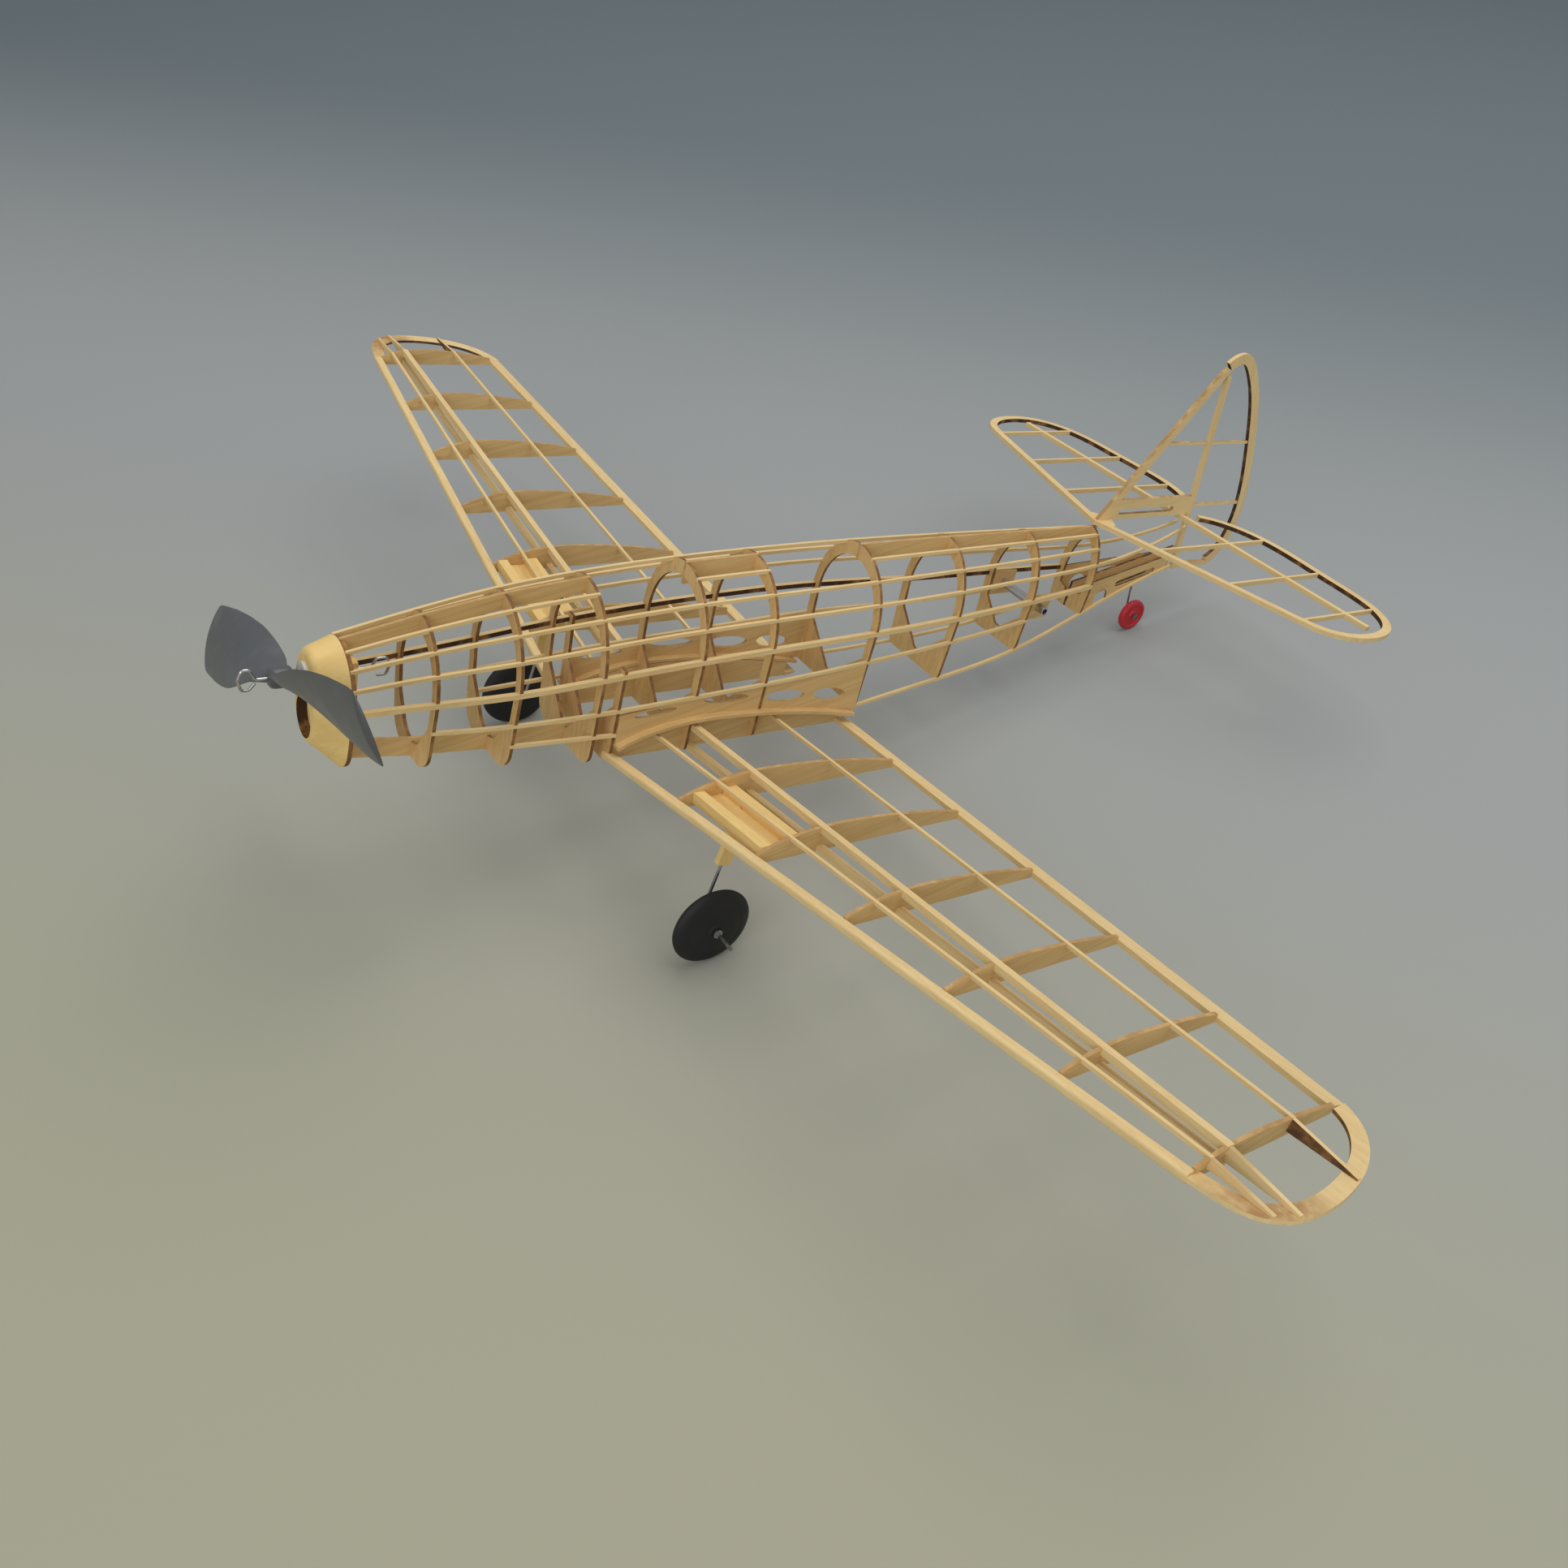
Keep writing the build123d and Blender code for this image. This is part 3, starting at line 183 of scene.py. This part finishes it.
def addNode(tree, kind, settings=None, **wires):
    # wires: socket name or number, given a value or an output socket
    node = tree.nodes.new("ShaderNode" + kind)
    for key, value in (settings or {}).items():
        setattr(node, key, value)
    for key, value in wires.items():
        numbered = key[0] == "i" and key[1:].isdigit()
        socket = node.inputs[int(key[1:]) if numbered else key.replace("_", " ")]
        if isinstance(value, bpy.types.NodeSocket):
            tree.links.new(value, socket)
        else:
            socket.default_value = value
    return node


def mixColour(tree, share, first, second, blend="MIX"):
    node = tree.nodes.new("ShaderNodeMix")
    node.data_type, node.blend_type = "RGBA", blend
    for socket, value in ((node.inputs[0], share), (node.inputs[6], first), (node.inputs[7], second)):
        if isinstance(value, bpy.types.NodeSocket):
            tree.links.new(value, socket)
        else:
            socket.default_value = value
    return node.outputs[2]


def spread(tree, value, low, high, newLow=0.0, newHigh=1.0):
    # a smooth step from newLow at low to newHigh at high
    return addNode(tree, "MapRange", {"interpolation_type": "SMOOTHSTEP"}, Value=value,
                   From_Min=low, From_Max=high, To_Min=newLow, To_Max=newHigh).outputs[0]


def grainGroup():
    # long fibres: noise stretched along the grain by the mapping outside, with pores and slow tone patches
    group, enter, leave = newGroup("balsaGrain", [
        ("Vector", "Vector", None), ("Fibres", "Vector", None), ("Pale", "Color", (0.8, 0.6, 0.33, 1)),
        ("Deep", "Color", (0.55, 0.33, 0.13, 1)), ("Contrast", "Float", 0.5), ("Patches", "Float", 9.0),
    ], [("Color", "Color"), ("Height", "Float"), ("Rough", "Float")])
    broad = addNode(group, "TexNoise", Vector=enter.outputs["Fibres"], Scale=1.0, Detail=4.0, Roughness=0.62)
    fine = addNode(group, "TexNoise", Vector=enter.outputs["Fibres"], Scale=4.5, Detail=3.0, Roughness=0.7)
    patches = addNode(group, "TexNoise", Vector=enter.outputs["Vector"], Scale=enter.outputs["Patches"],
                      Detail=2.0)
    streak = spread(group, broad.outputs["Fac"], 0.36, 0.66)
    pores = spread(group, fine.outputs["Fac"], 0.55, 0.74)
    tone = spread(group, patches.outputs["Fac"], 0.32, 0.68)
    both = addNode(group, "Math", {"operation": "MULTIPLY_ADD"}, i0=streak, i1=0.6, i2=0.0)
    full = addNode(group, "Math", {"operation": "MULTIPLY_ADD"}, i0=tone, i1=0.45, i2=both.outputs[0])
    share = addNode(group, "Math", {"operation": "MULTIPLY", "use_clamp": True}, i0=full.outputs[0],
                    i1=enter.outputs["Contrast"])
    colour = mixColour(group, share.outputs[0], enter.outputs["Pale"], enter.outputs["Deep"])
    poreShare = addNode(group, "Math", {"operation": "MULTIPLY"}, i0=pores, i1=0.32)
    dark = mixColour(group, 1.0, colour, (0.62, 0.5, 0.36, 1), "MULTIPLY")
    final = mixColour(group, poreShare.outputs[0], colour, dark)
    height = addNode(group, "Math", {"operation": "MULTIPLY_ADD"}, i0=pores, i1=-0.6, i2=broad.outputs["Fac"])
    rough = spread(group, broad.outputs["Fac"], 0.3, 0.7, 0.52, 0.78)
    group.links.new(final, leave.inputs["Color"])
    group.links.new(height.outputs[0], leave.inputs["Height"])
    group.links.new(rough, leave.inputs["Rough"])
    return group


def cutEdgeGroup():
    # 1 where the surface looks along the sheet instead of out of its face, so on the cut edges
    group, enter, leave = newGroup("cutEdge", [
        ("Normal", "Vector", None), ("Sheet Axis", "Vector", (0, 1, 0)),
    ], [("Mask", "Float")])
    facing = addNode(group, "VectorMath", {"operation": "DOT_PRODUCT"}, i0=enter.outputs["Normal"],
                     i1=enter.outputs["Sheet Axis"])
    size = addNode(group, "Math", {"operation": "ABSOLUTE"}, i0=facing.outputs["Value"])
    group.links.new(spread(group, size.outputs[0], 0.8, 0.45), leave.inputs["Mask"])
    return group


def innerShadeGroup():
    # painted shade mask: 1 where the surface looks towards a centre on either side of the model's middle plane,
    # so on inward faces
    group, enter, leave = newGroup("innerShadeMask", [
        ("Vector", "Vector", None), ("Normal", "Vector", None),
        ("Centre", "Vector", (0, 0, 0)), ("Flatten", "Vector", (1, 1, 1)),
    ], [("Mask", "Float")])
    place = addNode(group, "SeparateXYZ", i0=enter.outputs["Vector"])
    side = addNode(group, "Math", {"operation": "SIGN"}, i0=place.outputs[0])
    turned = addNode(group, "CombineXYZ", i0=side.outputs[0], i1=1.0, i2=1.0)
    herePlace = addNode(group, "VectorMath", {"operation": "MULTIPLY"}, i0=enter.outputs["Vector"],
                        i1=turned.outputs[0])
    hereNormal = addNode(group, "VectorMath", {"operation": "MULTIPLY"}, i0=enter.outputs["Normal"],
                         i1=turned.outputs[0])
    away = addNode(group, "VectorMath", {"operation": "SUBTRACT"}, i0=enter.outputs["Centre"],
                   i1=herePlace.outputs[0])
    flat = addNode(group, "VectorMath", {"operation": "MULTIPLY"}, i0=away.outputs[0],
                   i1=enter.outputs["Flatten"])
    unit = addNode(group, "VectorMath", {"operation": "NORMALIZE"}, i0=flat.outputs[0])
    facing = addNode(group, "VectorMath", {"operation": "DOT_PRODUCT"}, i0=unit.outputs[0],
                     i1=hereNormal.outputs[0])
    group.links.new(spread(group, facing.outputs["Value"], 0.12, 0.42), leave.inputs["Mask"])
    return group


def scorchAndShadeGroup():
    # tints a colour towards char where the mask says, patchy along the cut, with a thin brown halo of its own:
    # real laser scorch with the cut-edge mask, painted shade with the inward-face mask
    group, enter, leave = newGroup("scorchAndShade", [
        ("Vector", "Vector", None), ("Color", "Color", (1, 1, 1, 1)),
        ("Mask", "Float", 0.0), ("Amount", "Float", 1.0),
        ("CharAndShade", "Color", (0.055, 0.024, 0.010, 1)), ("ToastAndShade", "Color", (0.34, 0.16, 0.05, 1)),
    ], [("Color", "Color"), ("BurnAndShade", "Float")])
    uneven = addNode(group, "TexNoise", Vector=enter.outputs["Vector"], Scale=140.0, Detail=3.0,
                     Roughness=0.6)
    patchy = spread(group, uneven.outputs["Fac"], 0.28, 0.62, 0.55, 1.0)
    burnAndShadeShare = addNode(group, "Math", {"operation": "MULTIPLY"}, i0=enter.outputs["Mask"],
                   i1=enter.outputs["Amount"])
    burntAndShaded = addNode(group, "Math", {"operation": "MULTIPLY", "use_clamp": True}, i0=burnAndShadeShare.outputs[0],
                    i1=patchy)
    toastAndShade = spread(group, burntAndShaded.outputs[0], 0.0, 0.5)
    charAndShade = spread(group, burntAndShaded.outputs[0], 0.35, 0.95)
    first = mixColour(group, toastAndShade, enter.outputs["Color"], enter.outputs["ToastAndShade"])
    second = mixColour(group, charAndShade, first, enter.outputs["CharAndShade"])
    group.links.new(second, leave.inputs["Color"])
    group.links.new(burntAndShaded.outputs[0], leave.inputs["BurnAndShade"])
    return group


def mouldGroup():
    # moulded plastic: slow sheen changes, fine surface grit and handling dust
    group, enter, leave = newGroup("mouldedSurface", [
        ("Vector", "Vector", None), ("Base", "Color", (0.1, 0.1, 0.1, 1)),
        ("Dust", "Color", (0.3, 0.3, 0.3, 1)),
        ("Dust Amount", "Float", 0.2), ("Smooth", "Float", 0.35), ("Dull", "Float", 0.6),
    ], [("Color", "Color"), ("Rough", "Float"), ("Height", "Float")])
    slow = addNode(group, "TexNoise", Vector=enter.outputs["Vector"], Scale=60.0, Detail=3.0)
    grit = addNode(group, "TexNoise", Vector=enter.outputs["Vector"], Scale=1400.0, Detail=2.0)
    settled = spread(group, slow.outputs["Fac"], 0.45, 0.75)
    dust = addNode(group, "Math", {"operation": "MULTIPLY"}, i0=settled, i1=enter.outputs["Dust Amount"])
    colour = mixColour(group, dust.outputs[0], enter.outputs["Base"], enter.outputs["Dust"])
    rough = addNode(group, "MapRange", Value=slow.outputs["Fac"], From_Min=0.3, From_Max=0.7,
                    To_Min=enter.outputs["Smooth"], To_Max=enter.outputs["Dull"])
    group.links.new(colour, leave.inputs["Color"])
    group.links.new(rough.outputs[0], leave.inputs["Rough"])
    group.links.new(grit.outputs["Fac"], leave.inputs["Height"])
    return group


grain, cutEdge, innerShadeMask = grainGroup(), cutEdgeGroup(), innerShadeGroup()
scorchAndShade, moulded = scorchAndShadeGroup(), mouldGroup()


def useGroup(tree, group, **wires):
    node = tree.nodes.new("ShaderNodeGroup")
    node.node_tree = group
    for key, value in wires.items():
        socket = node.inputs[key.replace("_", " ")]
        if isinstance(value, bpy.types.NodeSocket):
            tree.links.new(value, socket)
        else:
            socket.default_value = value
    return node


def blankFinish(name):
    finish = bpy.data.materials.new(name)
    finish.use_nodes = True
    tree = finish.node_tree
    shader = tree.nodes["Principled BSDF"]
    return finish, tree, shader, addNode(tree, "TexCoord")


def bump(tree, shader, height, strength, distance):
    node = addNode(tree, "Bump", Strength=strength, Distance=distance, Height=height)
    tree.links.new(node.outputs[0], shader.inputs["Normal"])


balsaSet = {
    "stick": {"pale": (0.83, 0.615, 0.30), "deep": (0.66, 0.43, 0.175), "contrast": 0.55},
    "sheet": {"pale": (0.76, 0.51, 0.22), "deep": (0.56, 0.34, 0.12), "contrast": 0.7},
    "block": {"pale": (0.88, 0.63, 0.25), "deep": (0.74, 0.47, 0.155), "contrast": 0.55},
    "stretch": {"X": (5, 420, 420), "Y": (420, 5, 420), "Z": (420, 420, 5), "block": (160, 12, 160)},
    "fibreBump": 0.35,
}


def balsaFinish(name, kind, run, scorchAndShadeBy=None, sheetAxis=(0, 1, 0), centre=(0, 0, 0), flatten=(1, 1, 1),
                amount=1.0, shift=0.0):
    # run is the way the grain lies; the edge darkening is None, "cut" for scorched cut edges or "inner" for
    # painted shade on edges facing centre
    tone = balsaSet[kind]
    finish, tree, shader, coords = blankFinish(name)
    place = coords.outputs["Object"]
    moved = addNode(tree, "Mapping", Vector=place, Location=(shift, shift * 1.7, -shift),
                    Scale=balsaSet["stretch"][run])
    wood = useGroup(tree, grain, Vector=place, Fibres=moved.outputs[0], Pale=(*tone["pale"], 1),
                    Deep=(*tone["deep"], 1), Contrast=tone["contrast"])
    colour = wood.outputs["Color"]
    if scorchAndShadeBy:
        if scorchAndShadeBy == "cut":
            mask = useGroup(tree, cutEdge, Normal=coords.outputs["Normal"], Sheet_Axis=sheetAxis).outputs[0]
        else:
            mask = useGroup(tree, innerShadeMask, Vector=place, Normal=coords.outputs["Normal"], Centre=centre,
                            Flatten=flatten).outputs[0]
        burntAndShaded = useGroup(tree, scorchAndShade, Vector=place, Color=colour, Mask=mask, Amount=amount)
        colour = burntAndShaded.outputs["Color"]
    tree.links.new(colour, shader.inputs["Base Color"])
    tree.links.new(wood.outputs["Rough"], shader.inputs["Roughness"])
    shader.inputs["Specular IOR Level"].default_value = 0.3
    bump(tree, shader, wood.outputs["Height"], balsaSet["fibreBump"], 0.0002)
    return finish


def dress(finish, *names):
    for name in names:
        mesh = nodes[name].data
        mesh.materials.clear()
        mesh.materials.append(finish)


thrustLine = Vector(joints["propeller_spin"]["axis"]).normalized()     # points forward
sheetAcross = tuple(thrustLine)
uprightPost = Vector((0, thrustLine.z, -thrustLine.y)).normalized()   # square to the thrust line, upwards


def midOf(name):
    low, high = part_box(name)
    return (low + high) / 2


# fuselage sticks run fore and aft; wing sticks run along the span
dress(balsaFinish("deckStickWood", "stick", "Y", shift=0.3), "deck_stringers_left", "deck_stringers_right")
dress(balsaFinish("sideStickWood", "stick", "Y", shift=0.7), "side_stringers_left", "side_stringers_right",
      "bottom_longerons")
# main longerons: their inner faces, looking towards the middle plane, get painted shade in char colours
dress(balsaFinish("longeronWood", "stick", "Y", "inner", centre=(0, 0, 0), flatten=(1, 0, 0), amount=0.95),
      "main_longeron_left", "main_longeron_right")
dress(balsaFinish("wingEdgeWood", "stick", "X", shift=0.1), "wing_leading_edge_left",
      "wing_leading_edge_right", "wing_trailing_edge_left", "wing_trailing_edge_right")
dress(balsaFinish("sparWood", "stick", "X", shift=0.5), "wing_spars_left", "wing_spars_right",
      "stabiliser_spar", "stabiliser_leading_edge")
dress(balsaFinish("tailPostWood", "stick", "Z", shift=0.2), "tail_post")

# formers: every cut edge is scorched; each one is cut from its own sheet, so its grain is shifted
formerShift = 0.37        # metres between one former's piece of grain and the next one's
for number, name in enumerate(sorted(n for n in nodes if n.startswith(("former_", "half_former")))):
    dress(balsaFinish(f"formerWood{number}", "sheet", "Z", "cut", sheetAcross, amount=0.66,
                      shift=formerShift * number), name)

dress(balsaFinish("ribWood", "sheet", "Y", "cut", (1, 0, 0), amount=0.3), "wing_ribs_left", "wing_ribs_right")
dress(balsaFinish("keelWood", "sheet", "Y", "cut", (1, 0, 0), amount=0.25), "nose_deck_keel",
      "cockpit_deck_keel", "rear_deck_keel", "nose_belly_keel", "wing_saddle_sides", "motor_peg_pads")
dress(balsaFinish("tailKeelWood", "sheet", "Y", "cut", (1, 0, 0), amount=0.9), "tail_belly_keel",
      "tail_side_plates")
dress(balsaFinish("saddleWood", "sheet", "Y", shift=0.9), "wing_saddle_strips")
dress(balsaFinish("finWood", "stick", "Y", "cut", (1, 0, 0), amount=0.35), "fin_frame", "fin_rib",
      "rudder_ribs")
dress(balsaFinish("stabRibWood", "stick", "Y", shift=0.4), "stabiliser_ribs")

# stabiliser rim, rudder rim and wing tips: the faces looking into each outline get painted shade in char colours
stabMid = midOf("stabiliser_rim")
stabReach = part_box("stabiliser_rim")[1].x
stabCentre = (stabReach * 0.5, stabMid.y, stabMid.z)
dress(balsaFinish("stabRimWood", "stick", "X", "inner", centre=stabCentre, flatten=(1, 1, 0)),
      "stabiliser_rim")
postMid = midOf("tail_post")
rudderCentre = (0, postMid.y, postMid.z + 0.012)      # a little above the tail post's middle
dress(balsaFinish("rudderRimWood", "stick", "Z", "inner", centre=rudderCentre, flatten=(0, 1, 1)),
      "rudder_rim")
tipMid = midOf("wing_tip_left")
tipCentre = (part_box("wing_tip_left")[0].x + 0.006, tipMid.y, tipMid.z)      # just outboard of the last rib
dress(balsaFinish("wingTipWood", "stick", "X", "inner", centre=tipCentre, flatten=(1, 1, 0), amount=0.8),
      "wing_tip_left", "wing_tip_right")
dress(balsaFinish("mountWood", "block", "X"), "gear_mounts")
dress(balsaFinish("fairingWood", "block", "Z"), "gear_fairings")
# nose block: the recess walls facing the recess centre get painted shade in char colours
recessDown = -0.0196       # recess centre above the thrust line
recessBack = 0.0125        # and behind the propeller's turning point
plugPoint = Vector(joints["propeller_spin"]["pos_m"])
recessCentre = tuple(plugPoint - thrustLine * recessBack + uprightPost * recessDown)
dress(balsaFinish("noseWood", "block", "block", "inner", centre=recessCentre), "nose_block")
print("balsa dressed")


def metalFinish(name, tint, rough, drawn):
    finish, tree, shader, coords = blankFinish(name)
    lines = addNode(tree, "Mapping", Vector=coords.outputs["Object"], Scale=drawn)
    noise = addNode(tree, "TexNoise", Vector=lines.outputs[0], Scale=1.0, Detail=3.0)
    dull = tuple(channel * 0.6 for channel in tint)
    share = spread(tree, noise.outputs["Fac"], 0.35, 0.7)
    tree.links.new(mixColour(tree, share, (*tint, 1), (*dull, 1)), shader.inputs["Base Color"])
    roughness = spread(tree, noise.outputs["Fac"], 0.3, 0.7, rough * 0.7, rough * 1.4)
    tree.links.new(roughness, shader.inputs["Roughness"])
    shader.inputs["Metallic"].default_value = 1.0
    bump(tree, shader, noise.outputs["Fac"], 0.1, 0.00005)
    return finish


def plasticFinish(name, base, dust, dustAmount, smooth, dull, grit=0.1):
    finish, tree, shader, coords = blankFinish(name)
    skin = useGroup(tree, moulded, Vector=coords.outputs["Object"], Base=(*base, 1), Dust=(*dust, 1),
                    Dust_Amount=dustAmount, Smooth=smooth, Dull=dull)
    tree.links.new(skin.outputs["Color"], shader.inputs["Base Color"])
    tree.links.new(skin.outputs["Rough"], shader.inputs["Roughness"])
    bump(tree, shader, skin.outputs["Height"], grit, 0.00005)
    return finish


dress(metalFinish("gearWireSteel", (0.45, 0.44, 0.43), 0.34, (300, 300, 40)), "gear_legs", "tail_wheel_wire",
      "wheel_retainers")
dress(metalFinish("shaftWireSteel", (0.62, 0.61, 0.6), 0.28, (300, 40, 300)), "prop_shaft")
dress(metalFinish("pegAluminium", (0.78, 0.78, 0.79), 0.3, (30, 500, 500)), "motor_peg")
dress(plasticFinish("nylonPale", (0.66, 0.63, 0.55), (0.5, 0.45, 0.36), 0.3, 0.35, 0.55), "thrust_button",
      "prop_bead")
propPlastic = plasticFinish("propellerPlastic", base=(0.085, 0.086, 0.088), dust=(0.22, 0.22, 0.23),
                            dustAmount=0.25, smooth=0.3, dull=0.46, grit=0.08)
tyrePlastic = plasticFinish("wheelPlastic", base=(0.006, 0.0058, 0.0052), dust=(0.03, 0.027, 0.022),
                            dustAmount=0.3, smooth=0.55, dull=0.75, grit=0.2)
redPlastic = plasticFinish("tailWheelPlastic", base=(0.52, 0.012, 0.02), dust=(0.36, 0.05, 0.05),
                           dustAmount=0.3, smooth=0.3, dull=0.5, grit=0.1)
print("wire and plastic finishes made")


propellerSet = {
    "restAngle": 20.0,          # left blade above level, degrees
    "pitch": 0.200,
    "hubAhead": 0.0029,         # hub middle ahead of the joint's point
    "hubRadius": 0.0045,
    "hubHalf": 0.0045,
    "hubBore": 0.00062,
    "reach": 0.1015,            # hub middle to blade tip
    "stations": (0.0, 0.06, 0.14, 0.22, 0.32, 0.45, 0.6, 0.75, 0.88, 1.0),
    "chords": (0.0085, 0.0110, 0.0165, 0.0205, 0.0250, 0.0300, 0.0325, 0.0330, 0.0318, 0.0300),
    "thickness": (0.0046, 0.0042, 0.0036, 0.0031, 0.0027, 0.0023, 0.0020, 0.0017, 0.0015, 0.0013),
    "camber": 0.055,
    "tipRound": 0.075,           # share of the reach over which the tip corners are rounded
    "rows": 96,
    "columns": 48,
}


def bladeShell(settings, hubPlace, angle):
    # sections of a thin cambered lens, turned to a helix of constant pitch: twist = atan(pitch / (2 pi radius));
    # at the tip the chord falls away as a superellipse
    reach = settings["reach"]
    u = np.linspace(0, 1, settings["rows"])
    share = 1 - (1 - u) ** 1.35
    radius = share * reach * 0.999
    chord = np.interp(share, settings["stations"], settings["chords"])
    chord = np.convolve(np.pad(chord, 3, mode="edge"), np.ones(7) / 7, "valid")    # evens out the bends
    thick = np.interp(share, settings["stations"], settings["thickness"])
    fade = np.clip((share - (1 - settings["tipRound"])) / settings["tipRound"], 0, 1)
    corner = np.sqrt(np.clip(1 - fade ** 2.6, 0.0, 1)) * 0.985 + 0.015
    chord = chord * (0.72 + 0.28 * corner) * np.where(fade > 0, np.clip(corner * 1.25, 0, 1), 1)
    thick = thick * np.clip(corner * 1.6, 0.05, 1)
    twist = np.arctan(settings["pitch"] / (2 * np.pi * np.maximum(radius, 0.16 * reach)))
    angleRound = np.linspace(0, 2 * np.pi, settings["columns"], endpoint=False)
    across = np.cos(angleRound)                                   # from leading edge +1 to trailing edge -1
    lens = np.sin(angleRound) * (1 - 0.25 * across ** 2)
    axis = np.array(thrustLine)
    level = np.array((1.0, 0, 0))
    post = np.array(uprightPost)
    radial = math.cos(angle) * level + math.sin(angle) * post
    sweepWay = np.cross(axis, radial)
    chordWay = np.cos(twist)[:, None] * sweepWay + np.sin(twist)[:, None] * axis
    liftWay = np.cos(twist)[:, None] * axis - np.sin(twist)[:, None] * sweepWay
    arch = settings["camber"] * chord[:, None] * (1 - across[None, :] ** 2)
    points = (np.array(hubPlace) + radius[:, None, None] * radial
              + (chord[:, None] * across[None, :] / 2)[..., None] * chordWay[:, None, :]
              + (arch + thick[:, None] * lens[None, :] / 2)[..., None] * liftWay[:, None, :])
    rows, columns = settings["rows"], settings["columns"]
    faces = [list(face) for face in gridFaces(rows, columns)]
    faces += [list(range(columns))[::-1], list(range((rows - 1) * columns, rows * columns))]
    return points.reshape(-1, 3), faces


def makePropeller(settings):
    point = Vector(joints["propeller_spin"]["pos_m"]) + thrustLine * settings["hubAhead"]
    angle = math.radians(settings["restAngle"])
    half, radius, bore = settings["hubHalf"], settings["hubRadius"], settings["hubBore"]
    profile = [(-half, bore), (-half, radius * 0.8), (-half * 0.86, radius * 0.95), (-half * 0.6, radius),
               (half * 0.5, radius), (half * 0.8, radius * 0.93), (half, radius * 0.72), (half, bore),
               (-half, bore)]
    shells = [lathe(profile, point, thrustLine, settings["columns"])]
    shells += [bladeShell(settings, point, angle + turn) for turn in (0, math.pi)]
    points, faces = joined(*shells)
    piece = outward(meshPiece("propellerMoulding", points, faces))
    piece.data.materials.append(propPlastic)
    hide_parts("propeller")
    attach(piece, "propeller")


makePropeller(propellerSet)
print("propeller made")


mainWheelSet = {
    "bore": 0.00088,
    "profile": (   # share of half width, share of radius, from hub face to rim
        (1.0, 0.12), (1.0, 0.17), (0.95, 0.19), (0.86, 0.205), (0.84, 0.25), (0.845, 0.36), (0.82, 0.50),
        (0.765, 0.62), (0.73, 0.645), (0.715, 0.665), (0.72, 0.69), (0.68, 0.76), (0.58, 0.85), (0.42, 0.93),
        (0.22, 0.983), (0.05, 0.999), (0.03, 1.0)),
    "spokes": 128,
}
tailWheelSet = {
    "bore": 0.00068,
    "profile": (
        (1.0, 0.11), (1.0, 0.26), (0.9, 0.29), (0.5, 0.31), (0.42, 0.36), (0.42, 0.66), (0.5, 0.71),
        (0.86, 0.74), (0.93, 0.78), (0.92, 0.88), (0.72, 0.96), (0.35, 0.995), (0.05, 1.0)),
    "spokes": 96,
}


def makeWheel(name, node, settings, finish, body):
    low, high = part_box(node)
    centre, half, radius = (low + high) / 2, (high.x - low.x) / 2, (high.z - low.z) / 2
    side = [(share * half, up * radius) for share, up in settings["profile"]]
    side[0] = (half, settings["bore"])
    profile = side + [(-along, up) for along, up in reversed(side)] + [side[0]]
    points, faces = lathe(profile, centre, (1, 0, 0), settings["spokes"])
    piece = meshPiece(name, points, faces)
    merge(piece)
    outward(piece)
    piece.data.materials.append(finish)
    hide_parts(node)
    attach(piece, body)


makeWheel("mainWheelLeft", "wheel_left", mainWheelSet, tyrePlastic, "wheel_left")
makeWheel("mainWheelRight", "wheel_right", mainWheelSet, tyrePlastic, "wheel_right")
makeWheel("tailWheelRed", "tail_wheel", tailWheelSet, redPlastic, "tail_wheel")
print("wheels made")


floorSet = {
    "half": 9.0,
    "turn": -2.163,             # the painted light falloff (lighter and warmer near the camera, darker and bluer far) runs along this heading over the ground, radians
    "near": (0.405, 0.388, 0.285), "middle": (0.350, 0.358, 0.350), "far": (0.182, 0.212, 0.226),
    "reach": (-0.45, 0.15, 1.0),
}


def makeFloor(settings):
    half = settings["half"]
    across = np.linspace(-half, half, 5)
    x, y = np.meshgrid(across, across, indexing="ij")
    points = np.stack([x, y, np.zeros_like(x)], -1).reshape(-1, 3)
    floor = meshPiece("studioFloor", points, gridFaces(5, 5, closed=False), smooth=False)
    finish, tree, shader, coords = blankFinish("studioPaper")
    place = addNode(tree, "Mapping", {"vector_type": "POINT"}, Vector=coords.outputs["Object"],
                    Rotation=(0, 0, settings["turn"]))
    split = addNode(tree, "SeparateXYZ", i0=place.outputs[0])
    # painted light falloff: near, middle and far tones blended along the heading
    start, middle, end = settings["reach"]
    first = spread(tree, split.outputs[0], start, middle)
    second = spread(tree, split.outputs[0], middle, end)
    blend = mixColour(tree, first, (*settings["near"], 1), (*settings["middle"], 1))
    tree.links.new(mixColour(tree, second, blend, (*settings["far"], 1)), shader.inputs["Base Color"])
    grit = addNode(tree, "TexNoise", Vector=coords.outputs["Object"], Scale=6.0, Detail=4.0)
    tree.links.new(spread(tree, grit.outputs["Fac"], 0.3, 0.7, 0.85, 0.95), shader.inputs["Roughness"])
    shader.inputs["Specular IOR Level"].default_value = 0.1
    floor.data.materials.append(finish)


makeFloor(floorSet)
print("floor laid")

bpy.context.view_layer.update()
